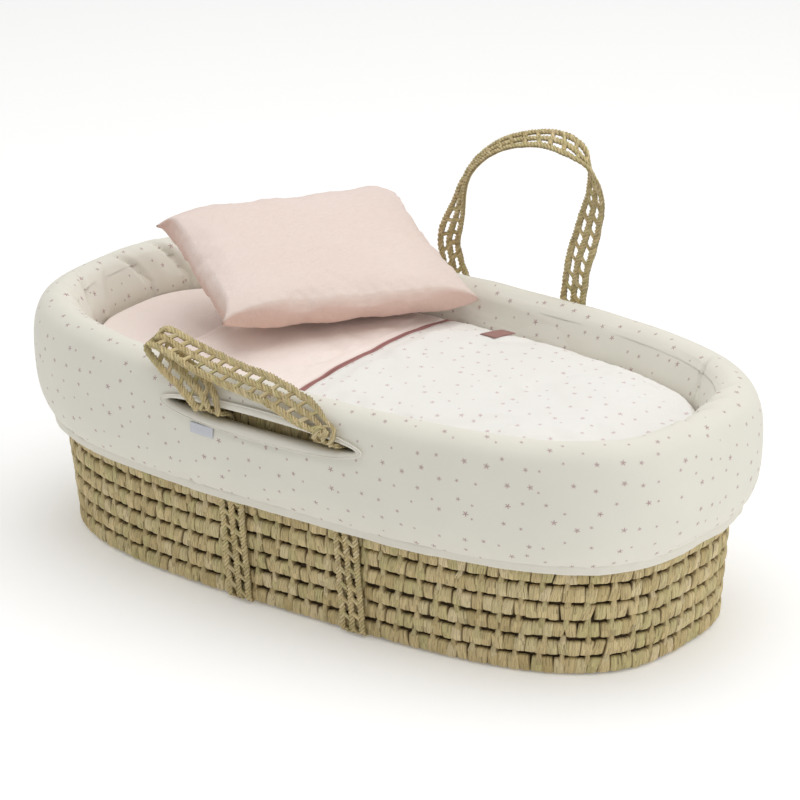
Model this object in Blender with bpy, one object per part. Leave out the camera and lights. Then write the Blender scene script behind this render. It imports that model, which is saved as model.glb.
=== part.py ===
"""Moses basket: palm-leaf basket, carry cords, padded liner and bedding. Metres, +Z up, +X towards the foot."""

import math

import bmesh
import bpy
from mathutils import Vector

# ---- driving dimensions -------------------------------------------------------------------------
BASE_A, BASE_B = 0.3580, 0.1607  # half length and half width of the basket at the floor
LEAN_A, LEAN_B = 0.0898, 0.0836  # how far the wall leans out, per metre of height
BASKET_N = 3.1  # squareness of the basket's plan
WALL_T = 0.0080  # thickness of one coiled row
ROW_PITCH, ROW_COUNT, ROW_GAP = 0.0195, 11, 0.0006
RIM_TOP = 0.2275
BASE_T = 0.0140
SEGMENTS = 44

CORD_W, CORD_T = 0.0088, 0.0050  # one twisted carry cord, pressed flat
CORD_PITCH = 0.0120
STRAP_X = (-0.066, 0.077)  # where the two carry straps cross the basket
CHANNEL_H = 0.0078  # channel that a strap presses into the underside
LINK_PITCH = 0.0180

LINER_A, LINER_B, LINER_N = 0.4000, 0.1985, 2.85
HEM_Z0, HEM_Z1 = 0.1145, 0.1245
CREST_Z = 0.2470
SLOT_X, SLOT_Z, SLOT_HALF_L, SLOT_HALF_H, SLOT_N = -0.005, 0.2130, 0.124, 0.0125, 2.6
FACING_T = 0.0018
PIVOT_Y, PIVOT_Z = 0.2035, 0.2190  # hinge line of each carry handle

RISER_TOP, MATTRESS_Z0, MATTRESS_TOP, SHEET_TOP = 0.1400, 0.1404, 0.2015, 0.2050
BED_A, BED_B, BED_N = 0.3395, 0.1400, 2.95
QUILT_X, TURNDOWN_X = -0.0165, -0.1950
PIPING_R = 0.0019
PILLOW_L, PILLOW_W, PILLOW_T = 0.250, 0.205, 0.056
PILLOW_AT = Vector((-0.138, 0.0545, 0.2795))
PILLOW_LONG = Vector((0.498, 0.866, -0.038)).normalized()
PILLOW_DOWN = Vector((0.825, -0.517, -0.227)).normalized()


# ---- helpers ------------------------------------------------------------------------------------
def clear_scene():
    for obj in list(bpy.data.objects):
        bpy.data.objects.remove(obj, do_unlink=True)
    for block in (bpy.data.meshes, bpy.data.materials, bpy.data.cameras, bpy.data.lights):
        for item in list(block):
            block.remove(item)


def material(name, colour, roughness):
    mat = bpy.data.materials.new(name)
    mat.use_nodes = True
    shader = mat.node_tree.nodes["Principled BSDF"]
    shader.inputs["Base Color"].default_value = (*colour, 1.0)
    shader.inputs["Roughness"].default_value = roughness
    mat.diffuse_color = (*colour, 1.0)
    return mat


def add_object(name, verts, faces, mat, pivot=None, smooth_deg=40.0):
    """One closed body; pivot, where given, becomes the object's origin."""
    pivot = pivot or Vector((0.0, 0.0, 0.0))
    mesh = bpy.data.meshes.new(name)
    mesh.from_pydata([Vector(v) - pivot for v in verts], [], faces)
    bm = bmesh.new()
    bm.from_mesh(mesh)
    bmesh.ops.recalc_face_normals(bm, faces=bm.faces)
    if bm.calc_volume(signed=True) < 0.0:
        bmesh.ops.reverse_faces(bm, faces=bm.faces)
    bm.to_mesh(mesh)
    bm.free()
    for polygon in mesh.polygons:
        polygon.use_smooth = True
    mesh.set_sharp_from_angle(angle=math.radians(smooth_deg))
    mesh.materials.append(mat)
    obj = bpy.data.objects.new(name, mesh)
    obj.location = pivot
    bpy.context.scene.collection.objects.link(obj)
    return obj


def superellipse(a, b, n, t):
    c, s = math.cos(t), math.sin(t)
    x = a * math.copysign(abs(c) ** (2.0 / n), c) if abs(c) > 1e-9 else 0.0
    y = b * math.copysign(abs(s) ** (2.0 / n), s) if abs(s) > 1e-9 else 0.0
    return x, y


def even_angles(count):
    """Angles that give even spacing round the basket's plan, the same in each quarter."""
    steps = 2000
    line = [superellipse(0.37, 0.172, BASKET_N, 0.5 * math.pi * i / steps) for i in range(steps + 1)]
    run = [0.0]
    for p, q in zip(line, line[1:]):
        run.append(run[-1] + math.hypot(q[0] - p[0], q[1] - p[1]))
    quarter, per = [], count // 4
    j = 0
    for k in range(per):
        goal = run[-1] * k / per
        while run[j + 1] < goal:
            j += 1
        part = (goal - run[j]) / (run[j + 1] - run[j])
        quarter.append(0.5 * math.pi * (j + part) / steps)
    angles = list(quarter)
    angles += [math.pi - a for a in reversed(quarter[1:])]
    angles.insert(per, 0.5 * math.pi)
    angles += [math.pi + a for a in angles[: 2 * per]]
    return angles[:count]


ANGLES = even_angles(SEGMENTS)


def ring_solid(name, section, mat, smooth_deg=40.0):
    """A closed loop round the basket. section: its corners in order, as (a, b, z, n)."""
    verts, faces, m = [], [], len(section)
    for t in ANGLES:
        for a, b, z, n in section:
            x, y = superellipse(a, b, n, t)
            verts.append((x, y, z))
    for i in range(SEGMENTS):
        j = (i + 1) % SEGMENTS
        for k in range(m):
            q = (k + 1) % m
            faces.append((i * m + k, j * m + k, j * m + q, i * m + q))
    return add_object(name, verts, faces, mat, smooth_deg=smooth_deg)


def slab_solid(name, levels, mat, smooth_deg=40.0):
    """A solid plate or cushion. levels: its outlines from the bottom up, as (a, b, z, n)."""
    verts, faces = [], []
    for a, b, z, n in levels:
        for t in ANGLES:
            x, y = superellipse(a, b, n, t)
            verts.append((x, y, z))
    for k in range(len(levels) - 1):
        for i in range(SEGMENTS):
            j = (i + 1) % SEGMENTS
            faces.append((k * SEGMENTS + i, k * SEGMENTS + j, (k + 1) * SEGMENTS + j, (k + 1) * SEGMENTS + i))
    faces.append(tuple(range(SEGMENTS - 1, -1, -1)))
    top = (len(levels) - 1) * SEGMENTS
    faces.append(tuple(range(top, top + SEGMENTS)))
    return add_object(name, verts, faces, mat, smooth_deg=smooth_deg)


def spline(points, steps):
    """Catmull-Rom through the points, steps spans between each pair."""
    pts = [Vector(p) for p in points]
    ends = [pts[0] * 2 - pts[1]] + pts + [pts[-1] * 2 - pts[-2]]
    out = []
    for i in range(1, len(ends) - 2):
        p0, p1, p2, p3 = ends[i - 1 : i + 3]
        for k in range(steps):
            u = k / steps
            out.append(
                0.5
                * (
                    2 * p1
                    + (p2 - p0) * u
                    + (2 * p0 - 5 * p1 + 4 * p2 - p3) * u * u
                    + (3 * p1 - 3 * p2 + p3 - p0) * u * u * u
                )
            )
    out.append(pts[-1])
    return out


def resample(points, sides, spacing):
    """Even stations along a line, with the side vector carried along."""
    run = [0.0]
    for p, q in zip(points, points[1:]):
        run.append(run[-1] + (q - p).length)
    count = max(4, round(run[-1] / spacing))
    out_p, out_s, j = [], [], 0
    for k in range(count + 1):
        goal = run[-1] * k / count
        while j < len(run) - 2 and run[j + 1] < goal:
            j += 1
        part = (goal - run[j]) / (run[j + 1] - run[j])
        out_p.append(points[j].lerp(points[j + 1], part))
        out_s.append(sides[j].lerp(sides[j + 1], part))
    return out_p, out_s


def cord(name, points, sides, shift, mat, half_w=None, pivot=None):
    """One flattened cord of a strap. shift: its place across the strap; half_w: half width by station.
    A cord with a pivot stands upright at both ends, so that it clears the strap cord that it continues."""
    verts, faces, last = [], [], len(points) - 1
    centres, wide = [], []
    upright = {0: Vector((0.0, 0.0, 1.0)), last: Vector((0.0, 0.0, -1.0))} if pivot else {}
    for i, p in enumerate(points):
        run = upright.get(i) or (points[min(i + 1, last)] - points[max(i - 1, 0)]).normalized()
        side = (sides[i] - run * sides[i].dot(run)).normalized()
        centres.append(p + side * shift)
        wide.append((run, side))
    for i, c in enumerate(centres):
        run = upright.get(i) or (centres[min(i + 1, last)] - centres[max(i - 1, 0)]).normalized()
        side = (wide[i][1] - run * wide[i][1].dot(run)).normalized()
        face = run.cross(side)
        w = half_w[i] if half_w else CORD_W / 2
        t = CORD_T / 2
        for u, v in ((1, 0), (0.55, 1), (-0.55, 1), (-1, 0), (-0.55, -1), (0.55, -1)):
            verts.append(c + side * (w * u) + face * (t * v))
    for i in range(last):
        for k in range(6):
            q = (k + 1) % 6
            faces.append((i * 6 + k, i * 6 + q, i * 6 + 6 + q, i * 6 + 6 + k))
    faces.append((5, 4, 3, 2, 1, 0))
    faces.append(tuple(last * 6 + k for k in range(6)))
    return add_object(name, verts, faces, mat, pivot=pivot, smooth_deg=65.0)


def box_cutter(name, low, high):
    xs, ys, zs = zip(low, high)
    verts = [(x, y, z) for x in xs for y in ys for z in zs]
    faces = [(0, 1, 3, 2), (4, 6, 7, 5), (0, 4, 5, 1), (2, 3, 7, 6), (0, 2, 6, 4), (1, 5, 7, 3)]
    obj = add_object(name, verts, faces, MAT["cord"])
    obj.hide_render = True
    obj.display_type = "WIRE"
    return obj


def cut(obj, cutter):
    modifier = obj.modifiers.new("cut " + cutter.name, "BOOLEAN")
    modifier.operation = "DIFFERENCE"
    modifier.solver = "EXACT"
    modifier.object = cutter


def wall(z, out=0.0):
    """Half sizes of the basket's outside at a height, moved out by a distance."""
    return BASE_A + LEAN_A * z + out, BASE_B + LEAN_B * z + out


clear_scene()
MAT = {
    "palm": material("palm_leaf", (0.52, 0.44, 0.25), 0.75),
    "palm_base": material("palm_base", (0.48, 0.40, 0.23), 0.80),
    "cord": material("palm_cord", (0.50, 0.41, 0.22), 0.75),
    "liner": material("liner_cotton", (0.86, 0.84, 0.79), 0.90),
    "hem": material("hem_band", (0.83, 0.81, 0.75), 0.90),
    "facing": material("slot_facing", (0.85, 0.82, 0.74), 0.85),
    "foam": material("foam", (0.80, 0.79, 0.75), 0.95),
    "pink": material("pink_muslin", (0.83, 0.68, 0.63), 0.92),
    "quilt": material("quilt_cotton", (0.88, 0.86, 0.83), 0.90),
    "piping": material("rose_piping", (0.47, 0.24, 0.22), 0.80),
    "rose_label": material("rose_label", (0.44, 0.25, 0.23), 0.70),
    "grey_label": material("grey_label", (0.50, 0.53, 0.57), 0.60),
}

# ---- basket: floor, coiled rows, rim ------------------------------------------------------------
channels = [
    box_cutter(f"channel_cutter_{i}", (x - 0.0200, -0.30, -0.02), (x + 0.0200, 0.30, CHANNEL_H))
    for i, x in enumerate(STRAP_X)
]
FLOOR_A, FLOOR_B = BASE_A - WALL_T - 0.0005, BASE_B - WALL_T - 0.0005
COIL = 0.0350
floor = [
    slab_solid(
        "floor_core",
        [
            (FLOOR_A - 3 * COIL, FLOOR_B - 3 * COIL, 0.0, BASKET_N),
            (FLOOR_A - 3 * COIL, FLOOR_B - 3 * COIL, BASE_T, BASKET_N),
        ],
        MAT["palm_base"],
    )
]
for k in range(3):
    a0, b0 = FLOOR_A - k * COIL, FLOOR_B - k * COIL
    a1, b1 = a0 - COIL + 0.0006, b0 - COIL + 0.0006
    floor.append(
        ring_solid(
            f"floor_coil_{3 - k}",
            [(a0, b0, 0.0, BASKET_N), (a0, b0, BASE_T, BASKET_N), (a1, b1, BASE_T, BASKET_N), (a1, b1, 0.0, BASKET_N)],
            MAT["palm_base"],
        )
    )
for k in range(ROW_COUNT):
    z0, z1 = k * ROW_PITCH, (k + 1) * ROW_PITCH - ROW_GAP
    h = z1 - z0
    foot = 0.0050 if k == 0 else 0.0020
    section = [
        (*wall(z0, -foot), z0, BASKET_N),
        (*wall(z0 + 0.28 * h), z0 + 0.28 * h, BASKET_N),
        (*wall(z0 + 0.72 * h), z0 + 0.72 * h, BASKET_N),
        (*wall(z1, -0.0020), z1, BASKET_N),
        (*wall(z1, -WALL_T), z1, BASKET_N),
        (*wall(z0, -WALL_T), z0, BASKET_N),
    ]
    row = ring_solid(f"wall_row_{k + 1:02d}", section, MAT["palm"], smooth_deg=70.0)
    if k == 0:
        floor.append(row)
for piece in floor:
    for cutter in channels:
        cut(piece, cutter)
RIM_Z = ROW_COUNT * ROW_PITCH + 0.0002
ring_solid(
    "rim_braid",
    [
        (*wall(RIM_Z, -0.0010), RIM_Z, BASKET_N),
        (*wall(RIM_Z, 0.0006), RIM_Z + 0.0045, BASKET_N),
        (*wall(RIM_Z, -0.0002), RIM_TOP - 0.0020, BASKET_N),
        (*wall(RIM_Z, -0.0030), RIM_TOP, BASKET_N),
        (*wall(RIM_Z, -0.0072), RIM_TOP - 0.0012, BASKET_N),
        (*wall(RIM_Z, -0.0086), RIM_Z + 0.0045, BASKET_N),
        (*wall(RIM_Z, -0.0070), RIM_Z, BASKET_N),
    ],
    MAT["palm"],
    smooth_deg=70.0,
)

# ---- carry straps: three cords each, under the floor and up both sides ---------------------------
HALF_PATH = [
    (-0.2005, 0.2155),
    (-0.1960, 0.2143),
    (-0.1905, 0.2128),
    (-0.1855, 0.2105),
    (-0.1822, 0.2070),
    (-(wall(0.2010)[1] + 0.0034), 0.2010),
    (-(wall(0.1650)[1] + 0.0033), 0.1650),
    (-(wall(0.1250)[1] + 0.0033), 0.1250),
    (-(wall(0.0700)[1] + 0.0033), 0.0700),
    (-(wall(0.0250)[1] + 0.0033), 0.0250),
    (-(wall(0.0120)[1] + 0.0033), 0.0120),
    (-0.1640, 0.0060),
    (-0.1610, 0.0034),
    (-0.1550, 0.0027),
    (-0.0800, 0.0027),
]
U_PATH = HALF_PATH + [(-y, z) for y, z in reversed(HALF_PATH)]
for side, x in zip(("head", "foot"), STRAP_X):
    line = [Vector((x, y, z)) for y, z in U_PATH]
    across = [Vector((1.0, 0.0, 0.0))] * len(line)
    for i, shift in enumerate((-CORD_PITCH, 0.0, CORD_PITCH)):
        cord(f"{side}_strap_cord_{i + 1}", line, across, shift, MAT["cord"])

# ---- carry handles: the same cords above the slots ------------------------------------------------
X0, X1 = STRAP_X
FRONT = [
    ((X0, -0.2042, 0.2178), (1, 0, 0)),
    ((X0, -0.2042, 0.2232), (1, 0, 0)),
    ((-0.0755, -0.2015, 0.2310), (0.93, 0.25, 0.15)),
    ((-0.0930, -0.1968, 0.2412), (0.72, 0.55, 0.35)),
    ((-0.1115, -0.1945, 0.2500), (0.45, 0.75, 0.45)),
    ((-0.1280, -0.1915, 0.2590), (0.20, 0.87, 0.44)),
    ((-0.1400, -0.1900, 0.2660), (0, 0.91, 0.41)),
    ((-0.1415, -0.1900, 0.2730), (0, 0.91, 0.41)),
    ((-0.1285, -0.1900, 0.2745), (0, 0.88, 0.47)),
    ((-0.1020, -0.1900, 0.2670), (0, 0.80, 0.56)),
    ((-0.0702, -0.1905, 0.2600), (0, 0.72, 0.66)),
    ((-0.0344, -0.1915, 0.2550), (0.02, 0.64, 0.75)),
    ((0.0008, -0.1925, 0.2515), (0.04, 0.58, 0.80)),
    ((0.0290, -0.1945, 0.2453), (0.06, 0.56, 0.80)),
    ((0.0540, -0.1965, 0.2380), (0.20, 0.48, 0.80)),
    ((0.0725, -0.1995, 0.2315), (0.60, 0.30, 0.55)),
    ((0.0820, -0.2028, 0.2275), (0.94, 0.10, 0.18)),
    ((X1 + 0.0010, -0.2042, 0.2235), (1, 0, 0)),
    ((X1, -0.2042, 0.2178), (1, 0, 0)),
]
BACK = [
    ((X0, 0.2042, 0.2178), (1, 0, 0)),
    ((X0, 0.2042, 0.2235), (1, 0, 0)),
    ((-0.0735, 0.2052, 0.2400), (1, 0, 0)),
    ((-0.0765, 0.2025, 0.2700), (1, -0.10, 0)),
    ((-0.0620, 0.1975, 0.3035), (0.90, -0.44, 0)),
    ((-0.0510, 0.1945, 0.3345), (0.70, -0.71, 0)),
    ((-0.0370, 0.1925, 0.3600), (0.47, -0.87, -0.16)),
    ((-0.0140, 0.1905, 0.3820), (0.25, -0.93, -0.28)),
    ((0.0060, 0.1895, 0.3940), (0.10, -0.95, -0.30)),
    ((0.0275, 0.1890, 0.4030), (0, -0.95, -0.30)),
    ((0.0510, 0.1890, 0.4090), (0, -0.95, -0.30)),
    ((0.0690, 0.1890, 0.4100), (0, -0.95, -0.30)),
    ((0.0845, 0.1895, 0.4075), (0, -0.95, -0.25)),
    ((0.0975, 0.1905, 0.4010), (0.15, -0.97, -0.05)),
    ((0.1080, 0.1925, 0.3885), (0.50, -0.82, 0.25)),
    ((0.1125, 0.1955, 0.3710), (0.80, -0.55, 0.15)),
    ((0.1105, 0.1985, 0.3510), (0.93, -0.32, 0)),
    ((0.1035, 0.2010, 0.3285), (1, -0.12, 0)),
    ((0.0955, 0.2030, 0.3050), (1, 0, 0)),
    ((0.0830, 0.2060, 0.2720), (1, 0, 0)),
    ((0.0785, 0.2064, 0.2450), (1, 0, 0)),
    ((X1, 0.2042, 0.2235), (1, 0, 0)),
    ((X1, 0.2042, 0.2178), (1, 0, 0)),
]
for side, stations, sign in (("front", FRONT, -1.0), ("back", BACK, 1.0)):
    raw = spline([p for p, _ in stations], 6)
    turn = spline([w for _, w in stations], 6)
    pivot = Vector((0.0, sign * PIVOT_Y, PIVOT_Z))
    line, across = resample(raw, turn, 0.0150)
    for name, shift in (("cord_1", -CORD_PITCH), ("cord_3", CORD_PITCH)):
        cord(f"{side}_handle_{name}", line, across, shift, MAT["cord"], pivot=pivot)
    # The middle cord carries the knots that reach out to the cords on either side of it.
    line, across = resample(raw, turn, LINK_PITCH / 3)
    widths = [0.0072 if i % 3 == 1 and 2 < i < len(line) - 4 else 0.0040 for i in range(len(line))]
    cord(f"{side}_handle_cord_2_with_links", line, across, 0.0, MAT["cord"], half_w=widths, pivot=pivot)

# ---- liner: hem, outer skirt that rolls over the rim, inner wall -------------------------------------
HEM_A0, HEM_B0 = wall(HEM_Z0, 0.0078)
HEM_A1, HEM_B1 = wall(HEM_Z1, 0.0078)
ring_solid(
    "liner_hem",
    [
        (HEM_A0 + 0.0006, HEM_B0 + 0.0006, HEM_Z0, BASKET_N),
        (HEM_A0 + 0.0024, HEM_B0 + 0.0024, HEM_Z0 + 0.0025, BASKET_N),
        (HEM_A1 + 0.0026, HEM_B1 + 0.0026, HEM_Z1, BASKET_N),
        (HEM_A1, HEM_B1, HEM_Z1, BASKET_N),
        (HEM_A0, HEM_B0, HEM_Z0 + 0.0015, BASKET_N),
    ],
    MAT["hem"],
)
SKIRT_OUT = [
    (0.3796, 0.1817, 0.1248, BASKET_N),
    (0.3905, 0.1900, 0.1385, 2.95),
    (0.3980, 0.1968, 0.1580, LINER_N),
    (LINER_A, LINER_B, 0.1850, LINER_N),
    (LINER_A, LINER_B, 0.2050, LINER_N),
    (0.3985, 0.1970, 0.2220, LINER_N),
    (0.3930, 0.1918, 0.2360, LINER_N),
    (0.3840, 0.1825, 0.2440, LINER_N),
    (0.3735, 0.1725, CREST_Z, 2.90),
    (0.3640, 0.1632, 0.2445, 2.90),
    (0.3572, 0.1562, 0.2385, 2.95),
]
SKIRT_IN = [
    (0.3690, 0.1690, 0.2296, BASKET_N),
    (0.3835, 0.1852, 0.2290, BASKET_N),
    (0.3838, 0.1850, 0.2000, BASKET_N),
    (*wall(0.1700, 0.0080), 0.1700, BASKET_N),
    (*wall(0.1248, 0.0078), 0.1248, BASKET_N),
]
skirt = ring_solid("liner_skirt", SKIRT_OUT + SKIRT_IN, MAT["liner"], smooth_deg=60.0)
ring_solid(
    "liner_inner_wall",
    [
        (0.3565, 0.1555, 0.2376, 2.95),
        (0.3500, 0.1505, 0.2250, 2.95),
        (0.3450, 0.1462, 0.2100, 2.95),
        (0.3425, 0.1435, 0.1900, 2.95),
        (0.3425, 0.1435, 0.0147, 2.95),
        (FLOOR_A + 0.0006, FLOOR_B + 0.0006, 0.0147, BASKET_N),
        (*wall(0.2145, -WALL_T - 0.0008), 0.2145, BASKET_N),
        (*wall(0.2145, -WALL_T - 0.0014), 0.2286, BASKET_N),
    ],
    MAT["liner"],
    smooth_deg=60.0,
)


def half_width(profile, x, z):
    """How far the skirt reaches from the middle line, at a place along it and a height."""
    rows = sorted((p for p in profile), key=lambda p: p[2])
    for (a0, b0, z0, n0), (a1, b1, z1, n1) in zip(rows, rows[1:]):
        if z0 <= z <= z1:
            u = (z - z0) / (z1 - z0)
            a, b, n = a0 + (a1 - a0) * u, b0 + (b1 - b0) * u, n0 + (n1 - n0) * u
            return b * (1.0 - abs(x / a) ** n) ** (1.0 / n)
    raise ValueError(z)


def slot_outline(inset, count=36):
    out = []
    for k in range(count):
        x, z = superellipse(SLOT_HALF_L - inset, SLOT_HALF_H - inset, SLOT_N, 2.0 * math.pi * (k + 0.5) / count)
        out.append((SLOT_X + x, SLOT_Z + z))
    return out


OUTER, INNER = SKIRT_OUT[:8], [SKIRT_IN[1], SKIRT_IN[2], SKIRT_IN[3]]
for side, sign in (("front", -1.0), ("back", 1.0)):
    ring = slot_outline(0.0)
    n = len(ring)
    verts = [(x, sign * 0.1812, z) for x, z in ring] + [(x, sign * 0.25, z) for x, z in ring]
    faces = [(k, (k + 1) % n, n + (k + 1) % n, n + k) for k in range(n)]
    faces += [tuple(range(n - 1, -1, -1)), tuple(range(n, 2 * n))]
    cutter = add_object(f"slot_cutter_{side}", verts, faces, MAT["facing"])
    cutter.hide_render = True
    cutter.display_type = "WIRE"
    cut(skirt, cutter)
    # Cream facing that lines the slot's edge.
    verts, faces = [], []
    for (x0, z0), (x1, z1) in zip(slot_outline(0.0004), slot_outline(0.0004 + FACING_T)):
        out, back = half_width(OUTER, x0, z0) + 0.0004, half_width(INNER, x0, z0) + 0.0035
        verts += [(x0, sign * out, z0), (x0, sign * back, z0), (x1, sign * back, z1), (x1, sign * out, z1)]
    for k in range(n):
        j = (k + 1) % n
        for c in range(4):
            d = (c + 1) % 4
            faces.append((k * 4 + c, j * 4 + c, j * 4 + d, k * 4 + d))
    add_object(f"slot_facing_{side}", verts, faces, MAT["facing"])


def patch(name, xs, zs, sign, thick, mat):
    """A small flat piece lying on the skirt."""
    verts, faces = [], []
    for layer in (0.0005, 0.0005 + thick):
        for x in xs:
            for z in zs:
                verts.append((x, sign * (half_width(OUTER, x, z) + layer), z))
    nx, nz = len(xs), len(zs)
    size = nx * nz
    for i in range(nx - 1):
        for k in range(nz - 1):
            a, b, c, d = i * nz + k, (i + 1) * nz + k, (i + 1) * nz + k + 1, i * nz + k + 1
            faces += [(a, b, c, d), (size + a, size + d, size + c, size + b)]
    edge = [i * nz for i in range(nx)] + [(nx - 1) * nz + k for k in range(1, nz)]
    edge += [i * nz + nz - 1 for i in range(nx - 2, -1, -1)] + [k for k in range(nz - 2, 0, -1)]
    for p, q in zip(edge, edge[1:] + edge[:1]):
        faces.append((p, size + p, size + q, q))
    return add_object(name, verts, faces, mat)


patch("side_label", (-0.093, -0.086, -0.079, -0.072, -0.065), (0.1850, 0.1970), -1.0, 0.0008, MAT["grey_label"])

# ---- bedding -----------------------------------------------------------------------------------------
slab_solid(
    "foam_riser",
    [
        (BED_A - 0.004, BED_B - 0.004, 0.0147, BED_N),
        (BED_A - 0.001, BED_B - 0.001, 0.0180, BED_N),
        (BED_A - 0.001, BED_B - 0.001, RISER_TOP - 0.003, BED_N),
        (BED_A - 0.004, BED_B - 0.004, RISER_TOP, BED_N),
    ],
    MAT["foam"],
)
MA, MB = BED_A - 0.0036, BED_B - 0.0036
slab_solid(
    "mattress",
    [
        (MA - 0.006, MB - 0.006, MATTRESS_Z0, BED_N),
        (MA, MB, MATTRESS_Z0 + 0.008, BED_N),
        (MA, MB, MATTRESS_TOP - 0.008, BED_N),
        (MA - 0.006, MB - 0.006, MATTRESS_TOP, BED_N),
    ],
    MAT["foam"],
)


def sheet_over_mattress(name, mat):
    """Fitted sheet: a cap over the mattress, open below."""
    outer = [
        (BED_A, BED_B, MATTRESS_Z0 + 0.012, BED_N),
        (BED_A, BED_B, SHEET_TOP - 0.010, BED_N),
        (BED_A - 0.003, BED_B - 0.003, SHEET_TOP - 0.003, BED_N),
        (BED_A - 0.010, BED_B - 0.010, SHEET_TOP, BED_N),
    ]
    inner = [
        (MA + 0.0004, MB + 0.0004, MATTRESS_Z0 + 0.012, BED_N),
        (MA + 0.0004, MB + 0.0004, MATTRESS_TOP - 0.0070, BED_N),
        (MA - 0.0050, MB - 0.0050, MATTRESS_TOP + 0.0006, BED_N),
    ]
    verts, faces = [], []
    for a, b, z, n in outer + inner:
        for t in ANGLES:
            x, y = superellipse(a, b, n, t)
            verts.append((x, y, z))

    def band(p, q):
        for i in range(SEGMENTS):
            j = (i + 1) % SEGMENTS
            faces.append((p * SEGMENTS + i, p * SEGMENTS + j, q * SEGMENTS + j, q * SEGMENTS + i))

    for k in range(3):
        band(k, k + 1)
    faces.append(tuple(range(3 * SEGMENTS, 4 * SEGMENTS)))
    band(4, 5)
    band(5, 6)
    faces.append(tuple(range(7 * SEGMENTS - 1, 6 * SEGMENTS - 1, -1)))
    band(0, 4)
    return add_object(name, verts, faces, mat)


sheet_over_mattress("fitted_sheet", MAT["pink"])


def bed_half_width(x):
    a, b = BED_A - 0.0010, BED_B - 0.0010
    return b * max(0.0, 1.0 - abs(x / a) ** BED_N) ** (1.0 / BED_N)


def cover_panel(name, x0, x1, nx, edge_z, crown, round_end, mat):
    """A panel of the coverlet lying on the sheet, crowned in the middle."""
    bottom = SHEET_TOP + 0.0004
    across = (-1.0, -0.93, -0.72, -0.40, 0.0, 0.40, 0.72, 0.93, 1.0)
    verts, faces, m = [], [], len(across)
    for layer in (0, 1):
        for i in range(nx + 1):
            u = i / nx
            x = x0 + (x1 - x0) * (1.0 - (1.0 - u) ** 1.6 if round_end else u)
            w = bed_half_width(x)
            ends = min(1.0, (x1 - x) / 0.09 + 0.25) if round_end else min(1.0, (x - x0) / 0.03 + 0.55)
            for s in across:
                rise = (1.0 - abs(s) ** 2.6) * ends
                z = bottom if layer == 0 else edge_z + crown * rise
                verts.append((x, w * s, z))
    size = (nx + 1) * m
    for i in range(nx):
        for k in range(m - 1):
            a, b, c, d = i * m + k, (i + 1) * m + k, (i + 1) * m + k + 1, i * m + k + 1
            faces += [(a, d, c, b), (size + a, size + b, size + c, size + d)]
    edge = [i * m for i in range(nx + 1)] + [nx * m + k for k in range(1, m)]
    edge += [i * m + m - 1 for i in range(nx - 1, -1, -1)] + [k for k in range(m - 2, 0, -1)]
    for p, q in zip(edge, edge[1:] + edge[:1]):
        faces.append((p, q, size + q, size + p))
    return add_object(name, verts, faces, mat, smooth_deg=50.0)


cover_panel("coverlet_quilt", QUILT_X + 0.0005, BED_A - 0.0035, 12, 0.2105, 0.0132, True, MAT["quilt"])
cover_panel(
    "coverlet_turndown", TURNDOWN_X, QUILT_X - 4 * PIPING_R - 0.0016, 6, 0.2105, 0.0125, False, MAT["pink"]
)
for i in range(2):
    px = QUILT_X - 0.0004 - PIPING_R * (2 * i + 1) - 0.0003 * i
    w = bed_half_width(px) - 0.0035
    verts, faces = [], []
    line = [(px, w * s, 0.2085 + 0.0128 * (1.0 - abs(s) ** 2.6)) for s in (-1, -0.9, -0.7, -0.4, 0, 0.4, 0.7, 0.9, 1)]
    for x, y, z in line:
        for k in range(6):
            t = math.pi / 3 * k
            verts.append((x + PIPING_R * math.cos(t), y, z + PIPING_R * math.sin(t)))
    for j in range(len(line) - 1):
        for k in range(6):
            q = (k + 1) % 6
            faces.append((j * 6 + k, j * 6 + q, j * 6 + 6 + q, j * 6 + 6 + k))
    faces += [(5, 4, 3, 2, 1, 0), tuple((len(line) - 1) * 6 + k for k in range(6))]
    add_object(f"coverlet_piping_{i + 1}", verts, faces, MAT["piping"], smooth_deg=70.0)
verts = [(x, y, z + up) for up in (0.0, 0.0008) for y, z in ((0.103, 0.2184), (0.121, 0.2150)) for x in (0.032, 0.077)]
faces = [(0, 2, 3, 1), (4, 5, 7, 6), (0, 1, 5, 4), (2, 6, 7, 3), (0, 4, 6, 2), (1, 3, 7, 5)]
add_object("coverlet_label", verts, faces, MAT["rose_label"])


def pillow_loop(length, thick, down, count=20):
    """One outline of the pillow across its long side, at a distance down its short side."""
    up = PILLOW_LONG.cross(PILLOW_DOWN).normalized()
    up = up if up.z > 0 else -up
    out = []
    for k in range(count):
        x, z = superellipse(length / 2, thick / 2, 3.4, 2.0 * math.pi * k / count)
        out.append(PILLOW_AT + PILLOW_LONG * x + up * z + PILLOW_DOWN * down)
    return out


def lofted(name, loops, mat):
    verts, faces, n = [v for loop in loops for v in loop], [], len(loops[0])
    for k in range(len(loops) - 1):
        for i in range(n):
            j = (i + 1) % n
            faces.append((k * n + i, k * n + j, (k + 1) * n + j, (k + 1) * n + i))
    faces.append(tuple(range(n - 1, -1, -1)))
    top = (len(loops) - 1) * n
    faces.append(tuple(range(top, top + n)))
    return add_object(name, verts, faces, mat, smooth_deg=50.0)


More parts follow.
